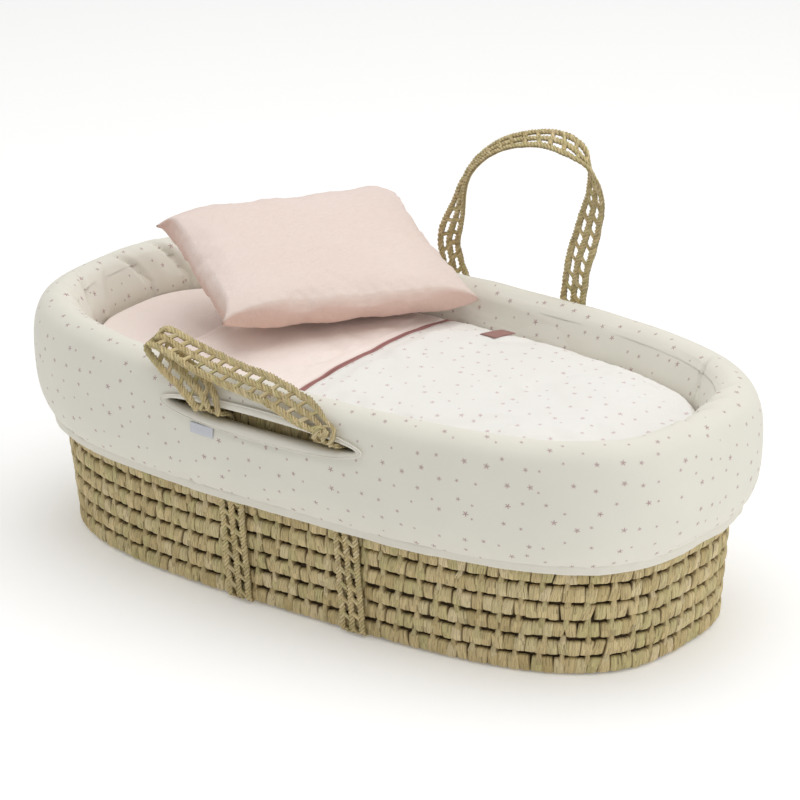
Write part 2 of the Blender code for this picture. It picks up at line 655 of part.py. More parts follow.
H = PILLOW_W / 2
CASE = 0.0015
case_out = [(-H, 0.905, 0.55), (-H + 0.012, 0.97, 0.84), (-H / 2, 1.0, 1.0), (H / 3, 1.0, 1.0)]
case_out += [(H - 0.020, 0.985, 0.90), (H - 0.006, 0.95, 0.72), (H, 0.90, 0.50)]
loops = [pillow_loop(PILLOW_L * fl, PILLOW_T * ft, d) for d, fl, ft in case_out]
inner = [(-H, 0.905, 0.55), (-H + 0.012, 0.97, 0.84), (-H / 2, 1.0, 1.0), (H / 3, 1.0, 1.0)]
inner += [(H - 0.0215, 0.985, 0.89), (H - 0.008, 0.945, 0.70)]
hollow = [pillow_loop(PILLOW_L * fl - 2 * CASE, PILLOW_T * ft - 2 * CASE, d) for d, fl, ft in inner]
# The case is a bag, open on its upper side: closed front end, outside, mouth, inside.
lofted("pillowcase", list(reversed(loops)) + hollow, MAT["pink"])
pad = [(-H + 0.003, 0.88, 0.48), (-H + 0.014, 0.965, 0.82), (-H / 2, 0.995, 0.985), (H / 3, 0.995, 0.985)]
pad += [(H - 0.024, 0.975, 0.86), (H - 0.012, 0.935, 0.66)]
lofted(
    "pillow_pad",
    [pillow_loop(PILLOW_L * fl - 2 * CASE - 0.0010, PILLOW_T * ft - 2 * CASE - 0.0014, d) for d, fl, ft in pad],
    MAT["foam"],
)
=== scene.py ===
"""Moses basket with its liner and bedding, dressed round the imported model. Metres, +X towards the foot, +Z up."""

import math

import bmesh
import bpy
import numpy as np
from mathutils import Matrix, Vector


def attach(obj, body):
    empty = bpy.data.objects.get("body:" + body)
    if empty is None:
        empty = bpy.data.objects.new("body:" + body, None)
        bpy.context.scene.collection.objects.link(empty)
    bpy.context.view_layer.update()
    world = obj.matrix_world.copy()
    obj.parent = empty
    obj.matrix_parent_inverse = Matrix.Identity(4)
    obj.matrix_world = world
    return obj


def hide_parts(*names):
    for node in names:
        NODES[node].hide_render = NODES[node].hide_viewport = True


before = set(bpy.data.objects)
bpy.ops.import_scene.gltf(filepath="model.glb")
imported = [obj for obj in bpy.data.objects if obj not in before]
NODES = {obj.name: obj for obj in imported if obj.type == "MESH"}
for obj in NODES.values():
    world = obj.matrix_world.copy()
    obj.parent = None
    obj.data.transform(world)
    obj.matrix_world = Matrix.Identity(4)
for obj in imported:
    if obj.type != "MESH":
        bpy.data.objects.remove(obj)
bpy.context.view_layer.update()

# ---- sizes shared with the CAD model ------------------------------------------------------------
# A plan is a superellipse of half length a, half width b and power n. The wall leans out as it rises.
BASE_A, BASE_B, LEAN_A, LEAN_B, WALL_N = 0.3580, 0.1607, 0.0898, 0.0836, 3.1
ROW_PITCH, ROW_COUNT = 0.0195, 11
STRAP_X = (-0.066, 0.077)
CORD_PITCH = 0.0120
SLOT_X, SLOT_Z, SLOT_L, SLOT_H, SLOT_N = -0.008, 0.2130, 0.1190, 0.0092, 2.0
SHEET_TOP = 0.2050
BED_A, BED_B, BED_N = 0.3395, 0.1400, 2.95
QUILT_X, TURNDOWN_X = -0.0165, -0.1950
PILLOW_L, PILLOW_W = 0.250, 0.205
PILLOW_AT = Vector((-0.144, 0.0622, 0.2755))
PILLOW_LONG = Vector((0.498, 0.866, -0.038)).normalized()
PILLOW_DOWN = Vector((0.825, -0.517, -0.227)).normalized()

rng = np.random.default_rng(7)


# ---- camera and light ---------------------------------------------------------------------------
CAMERA_AT = (2.9964, -3.8340, 2.1450)
CAMERA_TURNS = (127.89, -22.03, -1.15)  # yaw, pitch and roll in degrees
CAMERA_LENS = 236.4  # millimetres, on a 36 mm sensor
FLOOR_HALF = 6.0


def make_camera():
    data = bpy.data.cameras.new("camera")
    data.sensor_width = 36.0
    data.lens = CAMERA_LENS
    data.clip_end = 50.0
    cam = bpy.data.objects.new("camera", data)
    yaw, pitch, roll = (math.radians(v) for v in CAMERA_TURNS)
    forward = Vector((math.cos(pitch) * math.cos(yaw), math.cos(pitch) * math.sin(yaw), math.sin(pitch)))
    side = forward.cross(Vector((0, 0, 1))).normalized()
    up = side.cross(forward)
    right = side * math.cos(roll) + up * math.sin(roll)
    top = -side * math.sin(roll) + up * math.cos(roll)
    cam.location = CAMERA_AT
    cam.rotation_euler = Matrix((right, top, -forward)).transposed().to_euler()
    bpy.context.scene.collection.objects.link(cam)
    bpy.context.scene.camera = cam


def area_light(name, at, towards, size, power, colour=(1, 1, 1)):
    data = bpy.data.lights.new(name, "AREA")
    data.shape = "RECTANGLE"
    data.size, data.size_y = size
    data.energy = power
    data.color = colour
    obj = bpy.data.objects.new(name, data)
    obj.location = at
    obj.rotation_euler = (Vector(towards) - Vector(at)).to_track_quat("-Z", "Y").to_euler()
    bpy.context.scene.collection.objects.link(obj)


def make_studio():
    world = bpy.data.worlds.new("studio")
    bpy.context.scene.world = world
    world.use_nodes = True
    background = world.node_tree.nodes["Background"]
    background.inputs["Color"].default_value = (1.0, 1.0, 1.0, 1.0)
    background.inputs["Strength"].default_value = 0.42
    area_light("overhead", (0.15, 0.35, 2.7), (0, 0, 0.1), (3.6, 3.4), 53.0, (1.0, 0.99, 0.975))
    area_light("left", (-3.0, -0.8, 1.7), (0, 0, 0.15), (1.8, 1.6), 9.5)
    area_light("right", (3.0, 0.1, 1.5), (0, 0, 0.15), (1.8, 1.6), 18.0)
    bpy.context.scene.view_settings.view_transform = "Standard"
    mesh = bpy.data.meshes.new("floor")
    corners = [(x * FLOOR_HALF, y * FLOOR_HALF, 0) for x, y in ((-1, -1), (1, -1), (1, 1), (-1, 1))]
    mesh.from_pydata(corners, [], [(0, 1, 2, 3)])
    floor = bpy.data.objects.new("floor", mesh)
    floor.location.z = -0.0005
    bpy.context.scene.collection.objects.link(floor)
    mat = bpy.data.materials.new("pale_floor")
    mat.use_nodes = True
    shader = mat.node_tree.nodes["Principled BSDF"]
    shader.inputs["Base Color"].default_value = (0.96, 0.96, 0.96, 1)
    shader.inputs["Emission Color"].default_value = (1.0, 1.0, 1.0, 1)
    shader.inputs["Emission Strength"].default_value = 0.16
    shader.inputs["Roughness"].default_value = 0.9
    shader.inputs["Specular IOR Level"].default_value = 0.1
    mesh.materials.append(mat)


make_camera()
make_studio()


# ---- materials ----------------------------------------------------------------------------------
class Graph:
    """Short hand for a node material."""

    def __init__(self, name, roughness=0.9, specular=0.25, sheen=0.0):
        self.mat = bpy.data.materials.new(name)
        self.mat.use_nodes = True
        self.tree = self.mat.node_tree
        self.shader = self.tree.nodes["Principled BSDF"]
        self.shader.inputs["Roughness"].default_value = roughness
        self.shader.inputs["Specular IOR Level"].default_value = specular
        self.shader.inputs["Sheen Weight"].default_value = sheen
        self.shader.inputs["Sheen Roughness"].default_value = 0.5

    def node(self, kind, **settings):
        made = self.tree.nodes.new(kind)
        for key, value in settings.items():
            setattr(made, key, value)
        return made

    def put(self, socket, value):
        if isinstance(value, bpy.types.NodeSocket):
            self.tree.links.new(value, socket)
        else:
            socket.default_value = value

    def put_colour(self, socket, value):
        self.put(socket, (*value, 1.0) if isinstance(value, tuple) else value)

    def coords(self, which="UV"):
        return self.node("ShaderNodeTexCoord").outputs[which]

    def math(self, op, a, b=0.0, c=0.0, clamp=False):
        made = self.node("ShaderNodeMath", operation=op, use_clamp=clamp)
        for i, value in enumerate((a, b, c)):
            if i < len(made.inputs):
                self.put(made.inputs[i], value)
        return made.outputs[0]

    def vector(self, op, a, b):
        made = self.node("ShaderNodeVectorMath", operation=op)
        self.put(made.inputs[0], a)
        self.put(made.inputs[1], b)
        return made.outputs[0]

    def split(self, vec):
        made = self.node("ShaderNodeSeparateXYZ")
        self.put(made.inputs[0], vec)
        return tuple(made.outputs)

    def join(self, x, y, z=0.0):
        made = self.node("ShaderNodeCombineXYZ")
        for socket, value in zip(made.inputs, (x, y, z)):
            self.put(socket, value)
        return made.outputs[0]

    def noise(self, vec, scale, detail=3.0, rough=0.55, distortion=0.0):
        made = self.node("ShaderNodeTexNoise")
        self.put(made.inputs["Vector"], vec)
        made.inputs["Scale"].default_value = scale
        made.inputs["Detail"].default_value = detail
        made.inputs["Roughness"].default_value = rough
        made.inputs["Distortion"].default_value = distortion
        return made.outputs["Fac"]

    def white(self, vec):
        made = self.node("ShaderNodeTexWhiteNoise", noise_dimensions="3D")
        self.put(made.inputs["Vector"], vec)
        return made.outputs["Value"], made.outputs["Color"]

    def ramp(self, fac, stops):
        made = self.node("ShaderNodeValToRGB")
        while len(made.color_ramp.elements) < len(stops):
            made.color_ramp.elements.new(0.5)
        for element, (at, colour) in zip(made.color_ramp.elements, stops):
            element.position = at
            element.color = (*colour, 1.0)
        self.put(made.inputs["Fac"], fac)
        return made.outputs["Color"]

    def mix(self, fac, a, b):
        made = self.node("ShaderNodeMix", data_type="RGBA")
        self.put(made.inputs[0], fac)
        self.put_colour(made.inputs[6], a)
        self.put_colour(made.inputs[7], b)
        return made.outputs[2]

    def bump(self, height, strength, distance, under=None):
        made = self.node("ShaderNodeBump")
        made.inputs["Strength"].default_value = strength
        made.inputs["Distance"].default_value = distance
        self.put(made.inputs["Height"], height)
        if under is not None:
            self.put(made.inputs["Normal"], under)
        return made.outputs["Normal"]

    def finish(self, colour, normal):
        self.put_colour(self.shader.inputs["Base Color"], colour)
        self.put(self.shader.inputs["Normal"], normal)
        return self.mat


def weave_bump(g, vec, pitch, strength, under=None):
    """A fine plain weave: two crossed sets of threads."""
    x, y, _ = g.split(vec)
    turn = 2.0 * math.pi / pitch
    warp = g.math("SINE", g.math("MULTIPLY", x, turn))
    weft = g.math("SINE", g.math("MULTIPLY", y, turn))
    return g.bump(g.math("MULTIPLY", warp, weft), strength, pitch * 0.35, under)


def star_mask(g, vec, cell=0.0205):
    """Small hand-drawn five-point stars of mixed sizes, scattered one to a cell."""
    scaled = g.vector("MULTIPLY", vec, (1.0 / cell, 1.0 / cell, 0.0))
    cells = g.node("ShaderNodeTexVoronoi", voronoi_dimensions="2D", feature="F1")
    g.put(cells.inputs["Vector"], scaled)
    cells.inputs["Scale"].default_value = 1.0
    cells.inputs["Randomness"].default_value = 0.72
    x, y, _ = g.split(g.vector("SUBTRACT", scaled, cells.outputs["Position"]))
    size, turn, _ = g.split(cells.outputs["Color"])
    angle = g.math("ADD", g.math("ARCTAN2", y, x), g.math("MULTIPLY", turn, 6.2832))
    lobes = g.math("ABSOLUTE", g.math("COSINE", g.math("MULTIPLY", angle, 2.5)))
    reach = g.math("MULTIPLY_ADD", g.math("POWER", lobes, 3.0), 0.74, 0.26)
    big = g.math("MULTIPLY_ADD", g.math("POWER", size, 1.3), 0.080, 0.078)
    radius = g.math("SQRT", g.math("ADD", g.math("MULTIPLY", x, x), g.math("MULTIPLY", y, y)))
    edge = g.math("SUBTRACT", g.math("MULTIPLY", big, reach), radius)
    return g.math("MULTIPLY_ADD", edge, 38.0, 0.30, clamp=True)


def cotton(name, colour, shade, stars=True, coords="UV", star_colour=(0.36, 0.19, 0.20), crease=0.35):
    g = Graph(name, roughness=0.92, specular=0.18, sheen=0.12)
    vec = g.coords(coords)
    place = g.coords("Object")
    soft = g.noise(place, 14.0, 3.0)
    base = g.mix(g.math("MULTIPLY_ADD", soft, 1.6, -0.3, clamp=True), shade, colour)
    if stars:
        wobble = g.math("MULTIPLY_ADD", g.noise(place, 90.0, 2.0), 0.35, 0.62)
        base = g.mix(g.math("MULTIPLY", star_mask(g, vec), wobble), base, star_colour)
    under = g.bump(g.noise(place, 55.0, 4.0, 0.6), crease, 0.0015)
    return g.finish(base, weave_bump(g, vec, 0.0009, 0.12, under))


def muslin(name, colour, shade, side=None):
    """Soft crinkled double gauze."""
    g = Graph(name, roughness=0.95, specular=0.15, sheen=0.18)
    place = g.coords("Object")
    x, y, z = g.split(place)
    stretched = g.join(g.math("MULTIPLY", x, 260.0), g.math("MULTIPLY", y, 95.0), g.math("MULTIPLY", z, 130.0))
    crinkle = g.noise(stretched, 1.0, 3.0, 0.6, 0.6)
    soft = g.noise(place, 9.0, 3.0)
    mixed = g.math("ADD", g.math("MULTIPLY", soft, 0.75), g.math("MULTIPLY", crinkle, 0.60))
    base = g.mix(g.math("MULTIPLY_ADD", mixed, 1.5, -0.52, clamp=True), shade, colour)
    if side is not None:
        # Painted shade: faces that turn away from straight up, such as the sides and front band, are mixed towards a
        # deeper pink.
        upright = g.split(g.node("ShaderNodeNewGeometry").outputs["Normal"])[2]
        base = g.mix(g.math("MULTIPLY_ADD", upright, -1.5, 1.0, clamp=True), base, side)
    under = g.bump(g.noise(place, 38.0, 3.0), 0.25, 0.0015)
    return g.finish(base, g.bump(crinkle, 0.85, 0.0011, under))


def leaf(name, tones, dark, edge_shade_width, streak=7.0):
    """Dry palm leaf. The UV's whole part names the strip, and its fraction is the place across and along it."""
    g = Graph(name, roughness=0.62, specular=0.32)
    u, v, _ = g.split(g.coords("UV"))
    tone, colour = g.white(g.join(g.math("FLOOR", u), g.math("FLOOR", v)))
    hue, _, _ = g.split(colour)
    across = g.math("FRACT", u)
    fibre = g.noise(g.join(g.math("MULTIPLY", u, streak * 2.0), g.math("MULTIPLY", v, 1.3), hue), 1.0, 3.0, 0.62)
    patch = g.noise(g.coords("Object"), 24.0, 3.0)
    mixed = g.math("ADD", g.math("MULTIPLY", tone, 0.62), g.math("MULTIPLY", patch, 0.38))
    base = g.ramp(mixed, tones)
    base = g.mix(g.math("MULTIPLY_ADD", fibre, 3.2, -1.35, clamp=True), base, g.mix(0.50, base, dark))
    # Thin dark slits run along the strip.
    slit = g.noise(g.join(g.math("MULTIPLY", u, streak * 1.1), g.math("MULTIPLY", v, 0.7), tone), 1.0, 1.0, 0.5, 0.35)
    slit = g.math("MULTIPLY_ADD", g.math("ABSOLUTE", g.math("SUBTRACT", slit, 0.5)), -38.0, 1.0, clamp=True)
    base = g.mix(g.math("MULTIPLY", slit, 0.75), base, dark)
    # Painted shade: each strip darkens towards both edges, where the gaps between neighbouring strips lie in shadow.
    side = g.math("ABSOLUTE", g.math("SUBTRACT", across, 0.5))
    crease = g.math("MULTIPLY_ADD", side, 1.0 / edge_shade_width, 1.0 - 0.5 / edge_shade_width, clamp=True)
    base = g.mix(g.math("MULTIPLY", crease, 0.85), base, dark)
    return g.finish(base, g.bump(g.math("SUBTRACT", fibre, g.math("MULTIPLY", slit, 0.5)), 0.6, 0.0012))


STRAW = [
    (0.0, (0.470, 0.365, 0.160)),
    (0.22, (0.640, 0.510, 0.250)),
    (0.45, (0.790, 0.640, 0.350)),
    (0.60, (0.640, 0.560, 0.270)),
    (0.80, (0.850, 0.710, 0.430)),
    (1.0, (0.680, 0.470, 0.255)),
]
TIE_STRAW = [(p, tuple(0.95 * c for c in t)) for p, t in STRAW]
MAT = {
    "palm": leaf("palm_leaf_strips", STRAW, (0.150, 0.100, 0.050), 0.10),
    "tie": leaf("palm_leaf_ties", TIE_STRAW, (0.16, 0.105, 0.05), 0.14),
    "cord": leaf("palm_leaf_cord", STRAW, (0.13, 0.085, 0.04), 0.14, 9.0),
    # The outside and the inside are one starred cloth in two copies: the outside is painted a little darker and the
    # inside a little lighter, to stand in for how the light falls on each.
    "liner": cotton("starred_cotton", (0.815, 0.792, 0.705), (0.780, 0.757, 0.672)),
    "inner": cotton("starred_cotton_inside", (0.830, 0.805, 0.725), (0.790, 0.765, 0.690)),
    "plain": cotton("cream_cotton", (0.805, 0.775, 0.685), (0.765, 0.735, 0.645), stars=False),
    "stitch": cotton("cream_thread", (0.86, 0.83, 0.76), (0.80, 0.77, 0.70), stars=False, crease=0.1),
    "quilt": cotton(
        "starred_quilt", (0.870, 0.855, 0.820), (0.845, 0.825, 0.785), coords="Object", star_colour=(0.56, 0.36, 0.37),
    ),
    # The pillow's side colour is painted shade for its upright faces.
    "pillow": muslin(
        "pale_pink_pillow_muslin", (0.850, 0.725, 0.665), (0.805, 0.665, 0.600), side=(0.745, 0.535, 0.462),
    ),
    # Painted light: the sheet and turndown are the pillow's pink muslin made lighter, to offset the shade that the
    # pillow casts on them.
    "sheet": muslin("pale_pink_sheet_muslin", (0.930, 0.830, 0.775), (0.900, 0.785, 0.725)),
    "piping": muslin("rose_piping_cloth", (0.420, 0.205, 0.190), (0.330, 0.150, 0.140)),
    "ticking": muslin("wadding_cover", (0.80, 0.78, 0.73), (0.76, 0.74, 0.69)),
}


def painted_shade_backing():
    # Painted shade: a near-black band set behind the woven rows, where the gaps between the strips lie in shadow.
    g = Graph("painted_shade_leaf_backing", roughness=0.9, specular=0.1)
    fibre = g.noise(g.coords("Object"), 160.0, 3.0)
    tones = [(0.3, (0.040, 0.027, 0.016)), (0.7, (0.110, 0.078, 0.045))]
    return g.finish(g.ramp(fibre, tones), g.bump(fibre, 0.4, 0.001))


def floor_leaf(name):
    """Coiled leaf of the floor, ribbed across."""
    g = Graph(name, roughness=0.7)
    vec = g.coords("Object")
    ribs = g.math("SINE", g.math("MULTIPLY", g.split(vec)[0], 520.0))
    grain = g.noise(vec, 120.0, 4.0)
    tone = g.ramp(g.math("MULTIPLY_ADD", ribs, 0.12, grain), [(0.3, (0.20, 0.15, 0.07)), (0.75, (0.50, 0.42, 0.24))])
    return g.finish(tone, g.bump(g.math("ADD", ribs, grain), 0.6, 0.002))


def label_cloth(name, colour, shade):
    g = Graph(name, roughness=0.6, specular=0.35)
    place = g.coords("Object")
    rib = g.math("SINE", g.math("MULTIPLY", g.split(place)[0], 5200.0))
    grain = g.noise(place, 400.0, 2.0)
    return g.finish(g.mix(grain, shade, colour), g.bump(g.math("ADD", rib, grain), 0.2, 0.0003))


# The core entry is painted shade, the dark band behind the woven rows.
MAT["core"] = painted_shade_backing()
MAT["rose_label"] = label_cloth("rose_label_cloth", (0.40, 0.215, 0.195), (0.33, 0.17, 0.155))
MAT["grey_label"] = label_cloth("grey_label_cloth", (0.66, 0.68, 0.72), (0.58, 0.60, 0.64))


# ---- mesh helpers -------------------------------------------------------------------------------
def add_mesh(name, verts, faces, mat, loop_uv=None):
    mesh = bpy.data.meshes.new(name)
    mesh.from_pydata(np.asarray(verts, float).tolist(), [], [list(map(int, f)) for f in faces])
    if loop_uv is not None:
        layer = mesh.uv_layers.new(name="UVMap")
        layer.data.foreach_set("uv", np.asarray(loop_uv, np.float32).ravel())
    mesh.polygons.foreach_set("use_smooth", [True] * len(mesh.polygons))
    mesh.materials.append(mat)
    mesh.update()
    obj = bpy.data.objects.new(name, mesh)
    bpy.context.scene.collection.objects.link(obj)
    return obj


def points_of(mesh):
    """The places of a mesh's points, one row each."""
    flat = np.empty(len(mesh.vertices) * 3)
    mesh.vertices.foreach_get("co", flat)
    return flat.reshape(-1, 3)


def outward(obj):
    """Turns the faces out, whatever order the shape was written in."""
    bm = bmesh.new()
    bm.from_mesh(obj.data)
    bmesh.ops.recalc_face_normals(bm, faces=bm.faces)
    if bm.calc_volume(signed=True) < 0:
        bmesh.ops.reverse_faces(bm, faces=bm.faces)
    bm.to_mesh(obj.data)
    bm.free()
    return obj


def apply_modifiers(obj):
    graph = bpy.context.evaluated_depsgraph_get()
    mesh = bpy.data.meshes.new_from_object(obj.evaluated_get(graph))
    obj.modifiers.clear()
    obj.data = mesh


def superellipse(a, b, n, t):
    c, s = np.cos(t), np.sin(t)
    return a * np.sign(c) * np.abs(c) ** (2.0 / n), b * np.sign(s) * np.abs(s) ** (2.0 / n)


def run_along(x, y):
    """How far each point of a flat line is from its first, measured along it."""
    return np.concatenate([[0.0], np.cumsum(np.hypot(np.diff(x), np.diff(y)))])


def even_angles(count):
    """Angles that stand evenly round the basket, and the way round."""
    fine = np.linspace(0.0, 2.0 * np.pi, 40001)
    run = run_along(*superellipse(0.38, 0.182, 3.0, fine))
    return np.interp(np.arange(count) * run[-1] / count, run, fine), run[-1]


def unit(vectors):
    return vectors / np.linalg.norm(vectors, axis=1, keepdims=True)


def tangents(line):
    return unit(np.gradient(line, axis=0))


def catmull(points, steps):
    """A smooth line through points, with steps stations from each to the next."""
    pts = np.asarray(points, float)
    pts = np.vstack([2 * pts[0] - pts[1], pts, 2 * pts[-1] - pts[-2]])
    u = (np.arange(steps) / steps)[:, None]
    out = []
    for i in range(1, len(pts) - 2):
        p0, p1, p2, p3 = pts[i - 1 : i + 3]
        square, cube = 2 * p0 - 5 * p1 + 4 * p2 - p3, 3 * p1 - 3 * p2 + p3 - p0
        out.append(0.5 * (2 * p1 + (p2 - p0) * u + square * u**2 + cube * u**3))
    out.append(pts[-2][None])
    return np.vstack(out)


def blended_rows(at, run, rows):
    """Rows that belong to places run, read off at other places."""
    return np.stack([np.interp(at, run, column) for column in rows.T], 1)


def even_line(points, spacing, *carried):
    """Even stations along a line of points, and the same of what is carried along it."""
    run = np.concatenate([[0.0], np.cumsum(np.linalg.norm(np.diff(points[:, :3], axis=0), axis=1))])
    at = np.linspace(0.0, run[-1], max(4, int(round(run[-1] / spacing))) + 1)
    return [blended_rows(at, run, rows) for rows in (points, *carried)] + [at]


def grid_faces(nu, nv, wrap_u=False, wrap_v=False):
    """Quads of a grid, with the (iu, iv) of each corner before wrapping."""
    iu, iv = np.meshgrid(np.arange(nu if wrap_u else nu - 1), np.arange(nv if wrap_v else nv - 1), indexing="ij")
    iu, iv = iu.ravel(), iv.ravel()
    cu = np.stack([iu, iu + 1, iu + 1, iu], 1)
    cv = np.stack([iv, iv, iv + 1, iv + 1], 1)
    return (cu % nu) * nv + (cv % nv), cu, cv


def grid_edge(nu, nv):
    """The points along the edge of a grid, in order."""
    idx = np.arange(nu * nv).reshape(nu, nv)
    return np.concatenate([idx[:, 0], idx[-1, 1:], idx[-2::-1, -1], idx[0, -2:0:-1]])


def smooth_noise(seed, count, cells):
    """A smooth periodic random line of values from -1 to 1."""
    local = np.random.default_rng(seed)
    values = local.uniform(-1, 1, cells)
    x = np.arange(count) * cells / count
    i = np.floor(x).astype(int)
    f = x - i
    f = f * f * (3 - 2 * f)
    return values[i % cells] * (1 - f) + values[(i + 1) % cells] * f


def ring_grid(profile, count):
    """Points (count, len(profile), 3) of a surface round the basket; profile rows are (a, b, z, n)."""
    angles, length = even_angles(count)
    rings = [np.stack([*superellipse(a, b, n, angles), np.full(count, z)], 1) for a, b, z, n in profile]
    return np.stack(rings, 1), length


def pushed(pts, push, column):
    """A closed surface moved along its normals by push, outwards where the given column faces outwards."""
    du = np.roll(pts, -1, 0) - np.roll(pts, 1, 0)
    dv = np.roll(pts, -1, 1) - np.roll(pts, 1, 1)
    n = np.cross(du, dv)
    n = n / np.maximum(np.linalg.norm(n, axis=2, keepdims=True), 1e-12)
    return pts + n * push[..., None] * np.sign(np.sum(n[:, column] * pts[:, column], axis=1)).mean()


def ring_piece(name, pts, mat, length, run):
    """A closed surface from rings of points, with UVs in metres."""
    nu, nv = pts.shape[:2]
    quads, cu, cv = grid_faces(nu, nv, True, True)
    u = np.arange(nu + 1) * length / nu
    v = np.append(run, run[-1] + 0.01)
    obj = add_mesh(name, pts.reshape(-1, 3), quads, mat, np.stack([u[cu], v[cv]], 2))
    return outward(obj)


def wall(z, out=0.0):
    """Half length and half width of the woven wall's outside at a height, or out beyond it."""
    return BASE_A + LEAN_A * z + out, BASE_B + LEAN_B * z + out


def keep(obj, body, slot, *nodes):
    """Rides the piece and hides the CAD nodes that it stands for. The slot argument is not used."""
    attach(obj, body)
    if nodes:
        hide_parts(*nodes)
    return obj


# ---- woven basket -------------------------------------------------------------------------------
def plan_frame(sizes, s_values):
    """Places on a plan of the wall at given fractions round it: point, tangent, outward direction, and the girth."""
    x, y = superellipse(*sizes, WALL_N, np.linspace(0.0, 2.0 * np.pi, 8001))
    run = run_along(x, y)
    at = np.mod(s_values, 1.0) * run[-1]
    px, py = np.interp(at, run, x), np.interp(at, run, y)
    ahead = np.mod(at + 0.002, run[-1])
    tx, ty = np.interp(ahead, run, x) - px, np.interp(ahead, run, y) - py
    norm = np.hypot(tx, ty)
    tx, ty = tx / norm, ty / norm
    return np.stack([px, py], 1), np.stack([tx, ty], 1), np.stack([ty, -tx], 1), run[-1]


def girth(sizes):
    return plan_frame(sizes, np.array([0.0]))[3]


def strips(
    name, centre_z, sizes, s_values, widths, half_h, half_d, lean, row_id, mat, cols, loop,
    lift=0.0, flare=0.0, ridge=0.0, fan=0.0,
):
    """A row of wrapped leaf strips. sizes is (a, b) of the line that they wrap round."""
    count = len(s_values)
    point, tangent, away, _ = plan_frame(sizes, s_values)
    u = np.linspace(-0.5, 0.5, cols)
    phi = np.linspace(0, 2 * np.pi, loop, endpoint=False)
    c, s = np.cos(phi), np.sin(phi)
    depth = np.sign(c) * np.abs(c) ** 0.60
    height = np.sign(s) * np.abs(s) ** 0.62
    squeeze = 1.0 - 0.34 * np.abs(2 * u) ** 3.0
    lift = np.broadcast_to(lift, count)
    wedge = fan + flare * rng.uniform(-1.0, 1.0, count)
    phase = rng.uniform(0, 6.28, count)
    # The axes are strip, column across it and place round its loop.
    along = u[None, :, None] * widths[:, None, None] * (1 + wedge[:, None, None] * height)
    along = along + lean[:, None, None] * height[None, None, :]
    d = half_d[:, None, None] * depth[None, None, :] * squeeze[None, :, None]
    # Each leaf is creased along its length into two or three folds.
    d = d + ridge * np.sin(15.0 * u[None, :, None] + phase[:, None, None]) * np.clip(depth, 0, 1)
    h = half_h[:, None, None] * height[None, None, :] * (1.0 - 0.06 * np.abs(2 * u) ** 2)[None, :, None]
    h = h + lift[:, None, None]
    pts = np.zeros((count, cols, loop, 3))
    for k in range(2):
        here, forward, out = (rows[:, k][:, None, None] for rows in (point, tangent, away))
        pts[..., k] = here + forward * along + out * (d + LEAN_A * h)
    pts[..., 2] = centre_z + h
    quads, cu, cv = grid_faces(cols, loop, False, True)
    per = cols * loop
    base = (np.arange(count) * per)[:, None, None]
    ids = np.arange(count)[:, None, None]
    uu = ids + 0.02 + 0.96 * (cu / (cols - 1))[None]
    vv = row_id + 0.02 + 0.96 * (cv / loop)[None] + 0 * uu
    uvs = [np.stack([uu, vv], 3).reshape(-1, 2)]
    faces = list((quads[None] + base).reshape(-1, 4))
    for i in range(count):
        end = i * per + np.arange(loop)
        faces += [end, (end + (cols - 1) * loop)[::-1]]
        uvs += [np.tile([[i + across, row_id + 0.5]], (loop, 1)) for across in (0.03, 0.97)]
    return add_mesh(name, pts.reshape(-1, 3), faces, mat, np.vstack(uvs))


def join(name, parts):
    """Joins meshes into the first, keeping each face's material."""
    mats, verts, faces, uvs, index = [], [], [], [], []
    offset = 0
    for obj in parts:
        mesh = obj.data
        verts.append(points_of(mesh))
        mat = mesh.materials[0]
        if mat not in mats:
            mats.append(mat)
        uv = np.empty(len(mesh.loops) * 2)
        mesh.uv_layers[0].data.foreach_get("uv", uv)
        uvs.append(uv.reshape(-1, 2))
        for p in mesh.polygons:
            faces.append([i + offset for i in p.vertices])
        index += [mats.index(mat)] * len(mesh.polygons)
        offset += len(mesh.vertices)
        bpy.data.objects.remove(obj, do_unlink=True)
    made = add_mesh(name, np.vstack(verts), faces, mats[0], np.vstack(uvs))
    for mat in mats[1:]:
        made.data.materials.append(mat)
    made.data.polygons.foreach_set("material_index", index)
    return made


def shade_backing_ring(name, z0, z1, inset, thick):
    """A dark band behind the strips of one row, painted shade in the gaps between them."""
    corners = ((z0, -inset), (z1, -inset), (z1, -inset - thick), (z0, -inset - thick))
    pts, length = ring_grid([(*wall(z, out), z, WALL_N) for z, out in corners], 160)
    return ring_piece(name, pts, MAT["core"], length, np.arange(4) * 0.01)


PAIR_PITCH = 0.0218  # two strips of a row
HIDDEN_ROWS = (7, 8)  # behind the liner, so plainer


